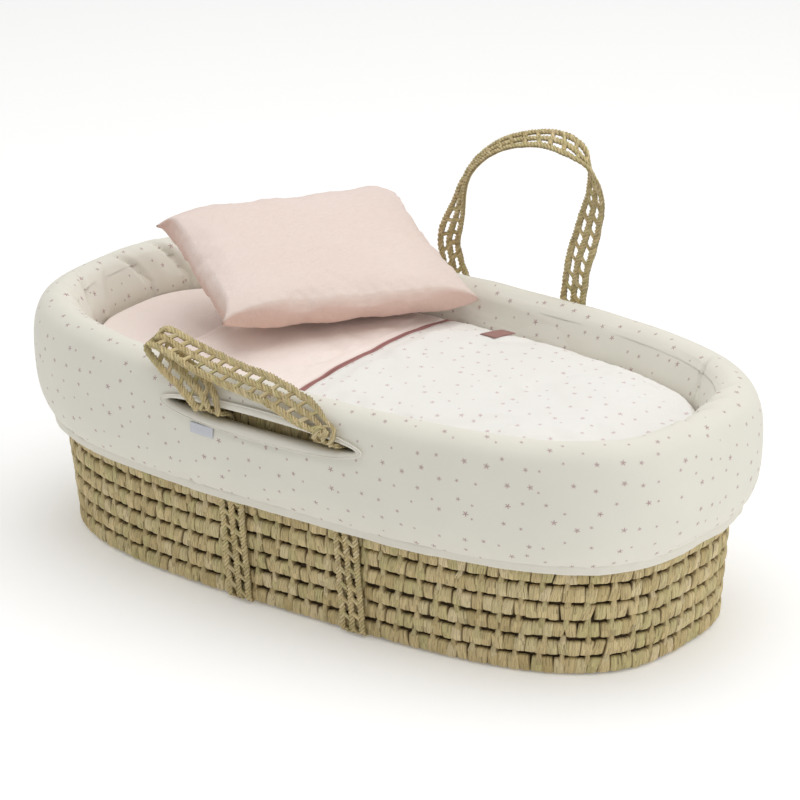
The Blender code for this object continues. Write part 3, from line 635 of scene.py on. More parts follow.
def wall_row(k):
    z = (k + 0.5) * ROW_PITCH - 0.0002
    fine = k not in HIDDEN_ROWS
    sizes = wall(z, -0.0042)
    length = girth(sizes)
    pairs = int(round(length / PAIR_PITCH))
    count = 2 * pairs
    jitter = rng.normal(0, 0.07, count)
    s = (np.arange(count) + 0.5 + 0.6 * rng.random() + jitter) / count
    widths = (length / count) * (1.02 + 0.10 * rng.random(count))
    # The rows stand closer together in some places than in others.
    half_h = 0.0078 + 0.0005 * rng.random(count) + 0.0006 * smooth_noise(70 + k, count, 9)
    half_d = 0.0042 + 0.0007 * rng.random(count)
    lean = rng.normal(0.0008, 0.0008, count)
    lift = rng.normal(0, 0.0004, count)
    if k == 0:
        lift, half_h = np.maximum(lift, -0.0001), half_h * 0.97 + 0.0006
    cols, loop = (9, 12) if fine else (4, 8)
    row = strips(
        f"row_strips_{k}", z, sizes, s, widths, half_h, half_d, lean, float(k), MAT["palm"], cols, loop,
        lift, flare=0.14, ridge=0.00050 if fine else 0.0,
    )
    backing_z = k * ROW_PITCH + (0.002 if k == 0 else 0.0)
    parts = [row, shade_backing_ring(f"row_shade_backing_{k}", backing_z, (k + 1) * ROW_PITCH, 0.0058, 0.0024)]
    if fine:
        # A leaf is carried up from every second strip to bind this row to the next one.
        at = (np.arange(pairs) * 2 + 1.0 + rng.normal(0, 0.12, pairs)) / count
        size = 0.0028 + 0.0010 * rng.random(pairs)
        tie_z = (k + 1) * ROW_PITCH - 0.0022
        ties = strips(
            f"row_ties_{k}", tie_z, wall(tie_z, -0.0040), at, 2 * size,
            0.0066 + 0.0010 * rng.random(pairs), 0.0040 + 0.0006 * rng.random(pairs), rng.normal(0.0006, 0.0008, pairs),
            40.0 + k, MAT["tie"], 7, 10, flare=0.15, ridge=0.0005, fan=-0.42,
        )
        parts.append(ties)
    return keep(join(f"wall_row_{k + 1:02d}_woven", parts), "basket", "palm_leaf", f"wall_row_{k + 1:02d}")


for row_index in range(ROW_COUNT):
    wall_row(row_index)


RIM_Z, RIM_PITCH = 0.2212, 0.0110


def rim():
    sizes = wall(RIM_Z, -0.0040)
    count = int(round(girth(sizes) / RIM_PITCH))
    parts = []
    for side, lean in ((0, 0.0052), (1, -0.0052)):
        s = (np.arange(count) + 0.5 * side) / count
        strands = strips(
            f"rim_{side}", RIM_Z + 0.0012 * (2 * side - 1), sizes, s, np.full(count, 0.0092), np.full(count, 0.0056),
            0.0046 + 0.0004 * rng.random(count), lean + rng.normal(0, 0.0006, count), 60.0 + side, MAT["palm"], 5, 10,
        )
        parts.append(strands)
    return keep(join("rim_braid_plaited", parts), "basket", "palm_leaf", "rim_braid")


rim()
for name in ("floor_core", "floor_coil_1", "floor_coil_2", "floor_coil_3"):
    floor_mat = floor_leaf(f"{name}_leaf")
    for material_slot in NODES[name].material_slots:
        material_slot.material = floor_mat

# ---- carry cords --------------------------------------------------------------------------------
# Half of a strap's line as (y, z): from the slot, down the wall, and under the floor to the middle.
DOWN_THE_WALL = (
    (0.2010, 0.0034), (0.1650, 0.0033), (0.1250, 0.0033), (0.0700, 0.0033), (0.0250, 0.0033), (0.0120, 0.0036),
)
HALF_PATH = [
    (-0.2005, 0.2155), (-0.1960, 0.2143), (-0.1905, 0.2128), (-0.1855, 0.2105), (-0.1822, 0.2070),
    *((-(wall(z)[1] + out), z) for z, out in DOWN_THE_WALL),
    (-0.1648, 0.0066), (-0.1615, 0.0042), (-0.1550, 0.0034), (-0.0800, 0.0034),
]
# Each handle's line from its head root to its foot root, as (place, direction across its three cords).
X0, X1 = STRAP_X
FRONT = [
    ((X0, -0.2042, 0.2178), (1, 0, 0)),
    ((X0, -0.2042, 0.2232), (1, 0, 0)),
    ((-0.0755, -0.2015, 0.2310), (0.93, 0.25, 0.15)),
    ((-0.0930, -0.1968, 0.2412), (0.72, 0.55, 0.35)),
    ((-0.1115, -0.1945, 0.2500), (0.45, 0.75, 0.45)),
    ((-0.1280, -0.1915, 0.2590), (0.20, 0.87, 0.44)),
    ((-0.1400, -0.1900, 0.2660), (0, 0.91, 0.41)),
    ((-0.1415, -0.1900, 0.2730), (0, 0.91, 0.41)),
    ((-0.1285, -0.1900, 0.2745), (0, 0.88, 0.47)),
    ((-0.1020, -0.1900, 0.2670), (0, 0.80, 0.56)),
    ((-0.0702, -0.1905, 0.2600), (0, 0.72, 0.66)),
    ((-0.0344, -0.1915, 0.2550), (0.02, 0.64, 0.75)),
    ((0.0008, -0.1925, 0.2515), (0.04, 0.58, 0.80)),
    ((0.0290, -0.1945, 0.2453), (0.06, 0.56, 0.80)),
    ((0.0540, -0.1965, 0.2380), (0.20, 0.48, 0.80)),
    ((0.0725, -0.1995, 0.2315), (0.60, 0.30, 0.55)),
    ((0.0820, -0.2028, 0.2275), (0.94, 0.10, 0.18)),
    ((X1 + 0.0010, -0.2042, 0.2235), (1, 0, 0)),
    ((X1, -0.2042, 0.2178), (1, 0, 0)),
]
BACK = [
    ((X0, 0.2042, 0.2178), (1, 0, 0)),
    ((X0, 0.2042, 0.2235), (1, 0, 0)),
    ((-0.0735, 0.2052, 0.2400), (1, 0, 0)),
    ((-0.0765, 0.2025, 0.2700), (1, -0.10, 0)),
    ((-0.0620, 0.1975, 0.3035), (0.90, -0.44, 0)),
    ((-0.0510, 0.1945, 0.3345), (0.70, -0.71, 0)),
    ((-0.0370, 0.1925, 0.3600), (0.47, -0.87, -0.16)),
    ((-0.0140, 0.1905, 0.3820), (0.25, -0.93, -0.28)),
    ((0.0060, 0.1895, 0.3940), (0.10, -0.95, -0.30)),
    ((0.0275, 0.1890, 0.4030), (0, -0.95, -0.30)),
    ((0.0510, 0.1890, 0.4090), (0, -0.95, -0.30)),
    ((0.0690, 0.1890, 0.4100), (0, -0.95, -0.30)),
    ((0.0845, 0.1895, 0.4075), (0, -0.95, -0.25)),
    ((0.0975, 0.1905, 0.4010), (0.15, -0.97, -0.05)),
    ((0.1080, 0.1925, 0.3885), (0.50, -0.82, 0.25)),
    ((0.1125, 0.1955, 0.3710), (0.80, -0.55, 0.15)),
    ((0.1105, 0.1985, 0.3510), (0.93, -0.32, 0)),
    ((0.1035, 0.2010, 0.3285), (1, -0.12, 0)),
    ((0.0955, 0.2030, 0.3050), (1, 0, 0)),
    ((0.0830, 0.2060, 0.2720), (1, 0, 0)),
    ((0.0785, 0.2064, 0.2450), (1, 0, 0)),
    ((X1, 0.2042, 0.2235), (1, 0, 0)),
    ((X1, 0.2042, 0.2178), (1, 0, 0)),
]


STATION = 0.0016
STRANDS, TWIST_PITCH = 3, 0.0125
LINK_PITCH, LINK_START = 0.0168, 0.010
CORD_SHIFTS = (-CORD_PITCH, 0.0, CORD_PITCH)


def strap_frames(line, sides):
    """Stations along a strap: place, tangent, direction across it, direction out of its face, and distance."""
    line, sides, run = even_line(line, STATION, sides)
    tangent = tangents(line)
    side = unit(sides - tangent * np.sum(sides * tangent, axis=1, keepdims=True))
    return line, tangent, side, np.cross(tangent, side), run


def tube(name, centre, side, face, half_w, half_t, ids, mat, ring=8):
    """A round strand along a line, closed at both ends."""
    count = len(centre)
    phi = np.linspace(0, 2 * np.pi, ring, endpoint=False)
    half_w = np.broadcast_to(half_w, count)
    half_t = np.broadcast_to(half_t, count)
    across = side[:, None] * (half_w[:, None] * np.cos(phi))[..., None]
    pts = centre[:, None] + across + face[:, None] * (half_t[:, None] * np.sin(phi))[..., None]
    quads, cu, cv = grid_faces(count, ring, False, True)
    uv = np.stack([ids[0] + 0.02 + 0.96 * cv / ring, ids[1] + cu * 0.045], 2).reshape(-1, 2)
    faces = list(quads) + [np.arange(ring)[::-1], (count - 1) * ring + np.arange(ring)]
    caps = np.tile([[ids[0] + 0.5, ids[1] + 0.5]], (2 * ring, 1))
    return add_mesh(name, pts.reshape(-1, 3), faces, mat, np.vstack([uv, caps]))


def twisted_cord(name, frames, shift, seed):
    """A cord of palm leaf strands twisted together, lying in a strap."""
    line, _, side, face, run = frames
    local = np.random.default_rng(seed)
    wander = 0.00035 * np.interp(run, np.linspace(0, run[-1], 40), local.normal(0, 1, 40))
    centre = line + side * (shift + wander)[:, None]
    parts = []
    swell = 1.0 + 0.11 * np.interp(run, np.linspace(0, run[-1], 90), np.clip(local.normal(0, 1, 90), -1.5, 1.2))
    # The last 6 mm at each end are bound a little tighter.
    ends = np.clip(np.minimum(run, run[-1] - run) / 0.006, 0, 1)
    tight = 0.84 + 0.16 * ends
    phase = local.uniform(0, 6.28)
    for k in range(STRANDS):
        angle = 2 * np.pi * run / TWIST_PITCH + phase + 2 * np.pi * k / STRANDS
        off_w, off_t = 0.00205 * tight * np.cos(angle), 0.00095 * tight * np.sin(angle)
        strand = centre + side * off_w[:, None] + face * off_t[:, None]
        half_w, half_t = 0.00215 * swell * tight, 0.00155 * swell * tight
        ids = (seed * 8.0 + k, 80.0 + k)
        parts.append(tube(f"{name}_{k}", strand, side, face, half_w, half_t, ids, MAT["cord"]))
    return parts


def links(name, frames, seed):
    """The short leaf bridges that hold the three cords of a strap side by side."""
    line, tangent, side, face, run = frames
    local = np.random.default_rng(seed)
    parts, turn = [], 0
    for lane in (-1, 1):
        at = LINK_START + (0.5 if lane > 0 else 0.0) * LINK_PITCH
        while at < run[-1] - LINK_START:
            reach = 0.0050 * lane
            s = np.linspace(0, 1, 7)
            place = at + reach * (s - 0.5) + local.normal(0, 0.0006)
            across = lane * (0.0020 + (CORD_PITCH - 0.0040) * s)
            c, w, f, t = (blended_rows(place, run, rows) for rows in (line, side, face, tangent))
            c = c + w * across[:, None] + f * (0.0007 * np.sin(np.pi * s))[:, None]
            fat = 0.0028 * (1.0 + 0.34 * np.abs(2 * s - 1) ** 2) * (1 + 0.10 * local.normal())
            parts.append(tube(f"{name}_{turn}", c, t, f, fat, fat * 0.62, (seed * 90.0 + turn, 90.0), MAT["cord"], 6))
            turn += 1
            at += LINK_PITCH * (1 + 0.08 * local.normal())
    return parts


U_PATH = HALF_PATH + [(-y, z) for y, z in reversed(HALF_PATH)]
for strap_index, (end, x) in enumerate(zip(("head", "foot"), STRAP_X)):
    raw = catmull([(x, y, z) for y, z in U_PATH], 6)
    frames = strap_frames(raw, np.tile([[1.0, 0.0, 0.0]], (len(raw), 1)))
    for i, shift in enumerate(CORD_SHIFTS):
        parts = twisted_cord(f"{end}_cord_{i}", frames, shift, 11 + 3 * strap_index + i)
        keep(join(f"{end}_strap_cord_{i + 1}_twisted", parts), "basket", "palm_cord", f"{end}_strap_cord_{i + 1}")
    keep(join(f"{end}_strap_links", links(f"{end}_link", frames, 31 + strap_index)), "basket", "palm_cord")

for side_index, (side_name, stations) in enumerate((("front", FRONT), ("back", BACK))):
    frames = strap_frames(catmull([place for place, _ in stations], 8), catmull([across for _, across in stations], 8))
    if side_name == "front":
        # The three cords bunch together where the strap turns over into the slot.
        line, tangent, side, face, run = frames
        narrow = 1.0 - 0.42 * np.exp(-(((run / run[-1] - 0.945) / 0.045) ** 2))
        frames = line, tangent, side * narrow[:, None], face, run
    handle = f"{side_name}_handle"
    for i, (shift, node) in enumerate(zip(CORD_SHIFTS, ("cord_1", "cord_2_with_links", "cord_3"))):
        parts = twisted_cord(f"{side_name}_cord_{i}", frames, shift, 41 + 3 * side_index + i)
        keep(join(f"{handle}_cord_{i + 1}_twisted", parts), handle, "palm_cord", f"{handle}_{node}")
    keep(join(f"{handle}_links", links(f"{side_name}_link", frames, 61 + side_index)), handle, "palm_cord")

# ---- liner --------------------------------------------------------------------------------------
# The liner's section, as (half length, half width, height, power): its outside from the hem over the crest and
# down inside, and then its back from there to the hem.
SKIRT_OUT = [
    (0.3798, 0.1819, 0.1240, WALL_N),
    (0.3895, 0.1895, 0.1365, 2.98),
    (0.3975, 0.1965, 0.1560, 2.87),
    (0.4003, 0.1988, 0.1820, 2.85),
    (0.4006, 0.1990, 0.2050, 2.85),
    (0.3988, 0.1972, 0.2220, 2.85),
    (0.3934, 0.1920, 0.2365, 2.85),
    (0.3842, 0.1826, 0.2448, 2.86),
    (0.3735, 0.1722, 0.2474, 2.88),
    (0.3636, 0.1630, 0.2444, 2.90),
    (0.3568, 0.1558, 0.2380, 2.94),
    (0.3510, 0.1508, 0.2280, 2.94),
    (0.3462, 0.1466, 0.2170, 2.94),
    (0.3440, 0.1447, 0.2070, 2.94),
    (0.3437, 0.1445, 0.1960, 2.95),
]
SKIRT_IN = [
    (0.3449, 0.1457, 0.1960, 2.95),
    (0.3455, 0.1462, 0.2070, 2.94),
    (0.3480, 0.1484, 0.2170, 2.94),
    (0.3560, 0.1560, 0.2270, 3.0),
    (0.3690, 0.1690, 0.2300, 3.1),
    (0.3835, 0.1852, 0.2290, 3.1),
    (0.3838, 0.1850, 0.2000, 3.1),
    (*wall(0.1700, 0.0080), 0.1700, 3.1),
    (*wall(0.1240, 0.0074), 0.1240, 3.1),
]
RING = 640
# Creases and swellings of the padded inside, as (place round the basket, width, height in metres).
FOLDS = [
    (0.402, 0.0030, -0.0045), (0.414, 0.0060, 0.0026), (0.436, 0.0022, -0.0070), (0.444, 0.0040, 0.0034),
    (0.455, 0.0020, -0.0080), (0.461, 0.0030, 0.0034), (0.467, 0.0018, -0.0070), (0.480, 0.0060, 0.0030),
    (0.495, 0.0024, -0.0085), (0.503, 0.0040, 0.0040), (0.520, 0.0022, -0.0080), (0.529, 0.0040, 0.0030),
    (0.541, 0.0022, -0.0065), (0.556, 0.0030, -0.0050), (0.572, 0.0026, -0.0035), (0.985, 0.0030, -0.0045),
    (0.000, 0.0050, 0.0026), (0.018, 0.0022, -0.0075), (0.027, 0.0034, 0.0034), (0.036, 0.0020, -0.0080),
    (0.047, 0.0040, 0.0032), (0.056, 0.0022, -0.0065), (0.094, 0.0016, -0.0060),
]


def near(s, centre, width):
    """A smooth bump round the basket, s and centre being fractions of the way round."""
    gap = np.abs(np.mod(s - centre + 0.5, 1.0) - 0.5)
    return np.exp(-((gap / width) ** 2))


def creases(s, down):
    """How far the cloth stands out or in at a place round the basket, down being how far below the crest it is."""
    total = np.zeros((len(s), len(down)))
    for centre, width, amount in FOLDS:
        lean = 0.010 * np.clip(down, 0, 2) * (1 if centre > 0.5 else -1)
        total += 0.72 * amount * near(s[:, None], centre + lean[None, :], width)
    return total


def skirt_reach(x, z):
    """Half width of the skirt's outside at a place along it and a height."""
    p = np.array(sorted(SKIRT_OUT[:8], key=lambda r: r[2]))
    a, b, n = (np.interp(z, p[:, 2], p[:, k]) for k in (0, 1, 3))
    return b * (1.0 - np.abs(x / a) ** n) ** (1.0 / n)


def lens(grow, count=96):
    """The slot's pointed oval, grown by a width, as x and z."""
    t = np.linspace(0, 2 * np.pi, count, endpoint=False)
    x, z = superellipse(SLOT_L + grow, SLOT_H + grow, SLOT_N, t)
    return SLOT_X + x, SLOT_Z + z


def skirt():
    """The padded outside with its roll over the rim, cut through at the two slots."""
    outer = catmull(SKIRT_OUT, 7)
    n_out = len(outer)
    profile = np.vstack([outer, SKIRT_IN])
    pts, length = ring_grid(profile, RING)
    s = np.arange(RING) / RING
    push = np.zeros((RING, len(profile)))
    row, z = np.arange(n_out), outer[:, 2]
    low = np.clip((0.150 - z) / 0.026, 0, 1) ** 2
    gathers = smooth_noise(3, RING, 150) * 0.6 + smooth_noise(4, RING, 260) * 0.4
    soft = smooth_noise(5, RING, 26)[:, None] * np.sin(np.pi * (z - 0.12) / 0.13)[None, :]
    soft2 = smooth_noise(6, RING, 44)[:, None] * np.sin(2 * np.pi * (z - 0.12) / 0.11)[None, :]
    fade = np.clip(row / 6, 0, 1) * np.clip((n_out - 1 - row) / 6, 0, 1)
    swells = (0.0012 * soft + 0.0007 * soft2) * fade * (outer[:, 1] > 0.16)
    push[:, :n_out] = 0.0010 * gathers[:, None] * low[None, :] + swells
    # Creases that start on the crest and run down the padded inside.
    down = np.clip(row - 7 * 6.9, 0, None) / (7 * 2.6)
    depth = np.minimum(down, 1.0) * np.clip((n_out - 1 - row) / 3, 0, 1)
    push[:, :n_out] += (creases(s, down) + 0.0010 * smooth_noise(12, RING, 36)[:, None]) * depth[None, :]
    # The cloth dips a little towards the stitched edge of each slot.
    for sign in (-1, 1):
        on_side = np.sign(pts[:, :n_out, 1]) == sign
        qx = np.abs((pts[:, :n_out, 0] - SLOT_X) / (SLOT_L + 0.012))
        qz = np.abs((pts[:, :n_out, 2] - SLOT_Z) / (SLOT_H + 0.012))
        dip = np.clip(1.25 - (qx**2.2 + qz**2.2), 0, 1)
        push[:, :n_out] -= 0.0020 * dip * on_side
    pts = pushed(pts, push, n_out // 3)
    obj = ring_piece("liner_skirt_cotton", pts, MAT["liner"], length, run_along(profile[:, 1], profile[:, 2]))
    x, z = lens(0.0)
    count = len(x)
    for sign in (-1, 1):
        verts = np.vstack([np.stack([x, np.full(count, sign * y), z], 1) for y in (0.181, 0.26)])
        i = np.arange(count)
        faces = list(np.stack([i, (i + 1) % count, count + (i + 1) % count, count + i], 1)) + [i[::-1], count + i]
        cutter = outward(add_mesh("slot_cutter", verts, faces, MAT["plain"]))
        modifier = obj.modifiers.new("slot", "BOOLEAN")
        modifier.operation, modifier.solver, modifier.object = "DIFFERENCE", "EXACT", cutter
        apply_modifiers(obj)
        bpy.data.objects.remove(cutter, do_unlink=True)
    obj.data.polygons.foreach_set("use_smooth", [True] * len(obj.data.polygons))
    obj.data.set_sharp_from_angle(angle=math.radians(50))
    return keep(obj, "basket", "liner_cotton", "liner_skirt")


def hem():
    """The narrow casing along the bottom, drawn in by its elastic."""
    low, high = wall(0.1145, 0.0078), wall(0.1245, 0.0078)

    def section(*rows):
        return [(size[0] + out, size[1] + out, z, WALL_N) for size, out, z in rows]

    outer = catmull(
        section(
            (low, 0.0008, 0.1143), (low, 0.0026, 0.1160), (low, 0.0032, 0.1195), (high, 0.0030, 0.1232),
            (high, 0.0022, 0.1252),
        ),
        4,
    )
    profile = np.vstack([outer, section((high, -0.0004, 0.1252), (low, 0.0, 0.1150))])
    count = 900
    pts, length = ring_grid(profile, count)
    gathers = smooth_noise(8, count, 210) * 0.5 + smooth_noise(9, count, 330) * 0.5
    push = np.zeros((count, len(profile)))
    push[:, 1 : len(outer) - 1] = 0.0006 * gathers[:, None]
    pts = pushed(pts, push, 5)
    pts[..., 2] += 0.0009 * smooth_noise(10, count, 60)[:, None]
    obj = ring_piece("liner_hem_casing", pts, MAT["plain"], length, run_along(profile[:, 1], profile[:, 2]))
    return keep(obj, "basket", "hem_band", "liner_hem")


def inner_wall():
    """The padded inside, from the crest to the floor, creased with the skirt that rolls over it."""
    front = [
        (0.3566, 0.1556, 0.2380, 2.94),
        (0.3510, 0.1508, 0.2290, 2.94),
        (0.3462, 0.1466, 0.2180, 2.94),
        (0.3432, 0.1440, 0.2080, 2.94),
        (0.3426, 0.1436, 0.1900, 2.95),
        (0.3426, 0.1436, 0.1500, 2.95),
    ]
    face = catmull(front, 7)
    a, b = wall(0.2145, -0.0096)
    back = [
        (0.3426, 0.1436, 0.0150, 2.95),
        (0.3498, 0.1525, 0.0150, 3.1),
        (a, b, 0.2145, 3.1),
        (a - 0.0006, b - 0.0006, 0.2286, 3.1),
    ]
    profile = np.vstack([face, back])
    pts, length = ring_grid(profile, RING)
    s = np.arange(RING) / RING
    n_face = len(face)
    depth = np.clip((0.2395 - face[:, 2]) / 0.02, 0, 1)
    push = np.zeros((RING, len(profile)))
    down = np.interp(face[:, 2], [0.1960, 0.2070, 0.2170, 0.2280, 0.2380, 0.2444], [2.73, 2.35, 1.96, 1.58, 1.19, 0.81])
    push[:, :n_face] = 0.0016 - 1.05 * np.minimum(creases(s, down), 0.0) * depth[None, :]
    pts = pushed(pts, push, n_face // 2)
    obj = ring_piece("liner_inner_cotton", pts, MAT["inner"], length, run_along(profile[:, 1], profile[:, 2]))
    return keep(obj, "basket", "liner_cotton", "liner_inner_wall")


skirt()
hem()
inner_wall()


def slot_trim(side_name, sign):
    """Cream facing turned into the slot, and the stitched oval round it."""
    x0, z0 = lens(-0.0003)
    x1, z1 = lens(-0.0016)
    x2, z2 = lens(0.0072)
    out0, out2 = skirt_reach(x0, z0), skirt_reach(x2, z2)
    dip = 0.0012
    section = (
        (x0, out0 - 0.012, z0),
        (x0, out0 - dip + 0.0004, z0),
        (x2, out2 + 0.0006, z2),
        (x2, out2 + 0.0014, z2),
        ((x0 + x2) / 2, (out0 + out2) / 2 + 0.0014, (z0 + z2) / 2),
        (x0, out0 - dip + 0.0018, z0),
        (x1, out0 - dip - 0.0004, z1),
        (x1, out0 - 0.012, z1),
    )
    pts = np.stack([np.stack([x, sign * y, z], 1) for x, y, z in section], 1)
    quads, cu, cv = grid_faces(len(x0), len(section), True, True)
    uv = np.stack([cu * 0.005, cv * 0.004], 2)
    obj = outward(add_mesh(f"slot_facing_{side_name}_cotton", pts.reshape(-1, 3), quads, MAT["plain"], uv))
    keep(obj, "basket", "slot_facing", f"slot_facing_{side_name}")
    x, z = lens(0.0066)
    line = np.stack([x, sign * (skirt_reach(x, z) + 0.0014), z], 1)
    line = np.vstack([line, line[:1]])
    face = np.tile([[0.0, float(sign), 0.0]], (len(line), 1))
    side = np.cross(tangents(line), face)
    thread = tube(f"slot_stitching_{side_name}", line, side, face, 0.0007, 0.0006, (1.0, 1.0), MAT["stitch"], 6)
    keep(thread, "basket", "slot_facing")


for side_name, sign in (("front", -1), ("back", 1)):
    slot_trim(side_name, sign)


def cloth_label(name, corners, thick, mat, body, slot, node):
    """A small woven label with turned ends, blank."""
    p00, p10, p01 = (np.array(c, float) for c in corners)
    nu, nv = 19, 9
    u, v = np.meshgrid(np.linspace(0, 1, nu), np.linspace(0, 1, nv), indexing="ij")
    e1, e2 = p10 - p00, p01 - p00
    normal = np.cross(e1, e2)
    normal /= np.linalg.norm(normal)
    lift = 0.0006 * np.sin(np.pi * u) * (0.6 + 0.4 * np.sin(2.2 * np.pi * v)) - 0.0004 * (np.abs(2 * v - 1) ** 6)
    top = p00 + u[..., None] * e1 + v[..., None] * e2 + normal * (thick + lift)[..., None]
    bottom = p00 + u[..., None] * e1 + v[..., None] * e2 + normal * (0.3 * lift)[..., None]
    quads, _, _ = grid_faces(nu, nv)
    size = nu * nv
    edge = grid_edge(nu, nv)
    after = np.roll(edge, -1)
    faces = list(quads) + list(quads[:, ::-1] + size) + list(np.stack([edge, edge + size, after + size, after], 1))
    verts = np.vstack([bottom.reshape(-1, 3), top.reshape(-1, 3)])
    obj = outward(add_mesh(name, verts, faces, mat))
    return keep(obj, body, slot, node)


label_y = [-(float(skirt_reach(np.array(-0.079), np.array(z))) + 0.0008) for z in (0.1875, 0.1990)]
cloth_label(
    "side_label_cloth", ((-0.0930, label_y[0], 0.1875), (-0.0650, label_y[0], 0.1865), (-0.0925, label_y[1], 0.1990)),
    0.0007, MAT["grey_label"], "basket", "grey_label", "side_label",
)


# ---- bedding ------------------------------------------------------------------------------------
def puff(obj, pressure, cap, frames, shrink, hold=None):
    """Swells a closed cloth form under light pressure, moving no point further than cap, and keeps the result."""
    mesh = obj.data
    before = points_of(mesh)
    modifier = obj.modifiers.new("cloth", "CLOTH")
    cloth = modifier.settings
    cloth.quality = 5
    cloth.mass = 0.25
    cloth.use_pressure = True
    cloth.uniform_pressure_force = pressure
    cloth.tension_stiffness = cloth.compression_stiffness = 12.0
    cloth.shear_stiffness = 4.0
    cloth.bending_stiffness = 0.3
    cloth.shrink_min = shrink
    cloth.effector_weights.gravity = 0.0
    if hold is not None:
        group = obj.vertex_groups.new(name="hold")
        for i, w in enumerate(hold):
            if w > 0:
                group.add([i], float(w), "REPLACE")
        cloth.vertex_group_mass = "hold"
    modifier.point_cache.frame_start, modifier.point_cache.frame_end = 1, frames
    scene = bpy.context.scene
    for frame_number in range(1, frames + 1):
        scene.frame_set(frame_number)
    move = points_of(obj.evaluated_get(bpy.context.evaluated_depsgraph_get()).to_mesh()) - before
    far = np.linalg.norm(move, axis=1, keepdims=True)
    move *= np.minimum(1.0, cap / np.maximum(far, 1e-9))
    obj.modifiers.clear()
    obj.vertex_groups.clear()
    scene.frame_set(1)
    mesh.vertices.foreach_set("co", (before + move).ravel())
    mesh.update()


def cushion(name, place, half_t, nu, nv, mat, edge_rows=3):
    """A closed cushion: place(p, q) gives its middle surface point and normal, half_t(p, q) half its thickness."""
    p, q = np.meshgrid(np.linspace(-1, 1, nu), np.linspace(-1, 1, nv), indexing="ij")
    mid, normal = place(p, q)
    t = half_t(p, q)[..., None]
    top, bottom, mid, normal = (rows.reshape(-1, 3) for rows in (mid + normal * t, mid - normal * t, mid, normal))
    quads, _, _ = grid_faces(nu, nv)
    size = nu * nv
    edge = grid_edge(nu, nv)
    verts = [top, bottom]
    faces = list(quads) + list(quads[:, ::-1] + size)
    away = mid[edge] - mid.mean(0)
    away = unit(away - normal[edge] * np.sum(away * normal[edge], axis=1, keepdims=True))
    height = np.linalg.norm(top[edge] - bottom[edge], axis=1, keepdims=True)
    previous, offset = edge, 2 * size
    for k in range(1, edge_rows + 1):
        f = k / (edge_rows + 1)
        verts.append(top[edge] * (1 - f) + bottom[edge] * f + away * math.sin(math.pi * f) * height * 0.16)
        here = offset + np.arange(len(edge))
        faces += list(np.stack([previous, here, np.roll(here, -1), np.roll(previous, -1)], 1))
        previous, offset = here, offset + len(edge)
    last = edge + size
    faces += list(np.stack([previous, last, np.roll(last, -1), np.roll(previous, -1)], 1))
    return outward(add_mesh(name, np.vstack(verts), faces, mat))


def slab(name, inset, levels, mat, rings):
    """A flat cushion with the bed's plan. levels run from the bottom edge up and over, as (further inset, z)."""
    count = 160
    levels = [(BED_A - inset - more, BED_B - inset - more, z, BED_N) for more, z in levels]
    shrink = np.linspace(1.0, 0.0, rings + 1)[1:-1]
    (a0, b0, *first), (a1, b1, *last) = levels[0], levels[-1]
    rows = [(a0 * k, b0 * k, *first) for k in shrink[::-1]] + levels + [(a1 * k, b1 * k, *last) for k in shrink]
    pts, _ = ring_grid(rows, count)
    quads, _, _ = grid_faces(count, len(rows), True, False)
    faces = list(quads) + [np.arange(count) * len(rows), (np.arange(count) * len(rows) + len(rows) - 1)[::-1]]
    return outward(add_mesh(name, pts.reshape(-1, 3), faces, mat))


def sheet_height(x, y):
    """The sheet is gently domed, with a few soft hollows."""
    r = (np.abs(x / BED_A) ** 2.6 + np.abs(y / BED_B) ** 2.6) ** (1 / 2.6)
    dome = 0.0030 * (1 - np.clip(r, 0, 1) ** 3)
    ripples = 0.0007 * np.sin(38 * x + 21 * y + 1.3) * np.sin(27 * y - 9 * x)
    ripples = ripples + 0.0005 * np.sin(90 * x + 4 * np.sin(40 * y))
    return dome + ripples * np.clip((1 - r) * 6, 0, 1)


riser = slab(
    "foam_riser_block", 0.0, ((0.004, 0.0150), (0.001, 0.0190), (0.001, 0.1365), (0.004, 0.1400)), MAT["ticking"], 6,
)
keep(riser, "basket", "foam", "foam_riser")
mattress = slab(
    "mattress_cushion", 0.0036,
    ((0.006, 0.1404), (0.0015, 0.1430), (0.0, 0.1490), (0.0, 0.1930), (0.0015, 0.1985), (0.006, 0.2015)),
    MAT["ticking"], 8,
)
keep(mattress, "mattress", "foam", "mattress")


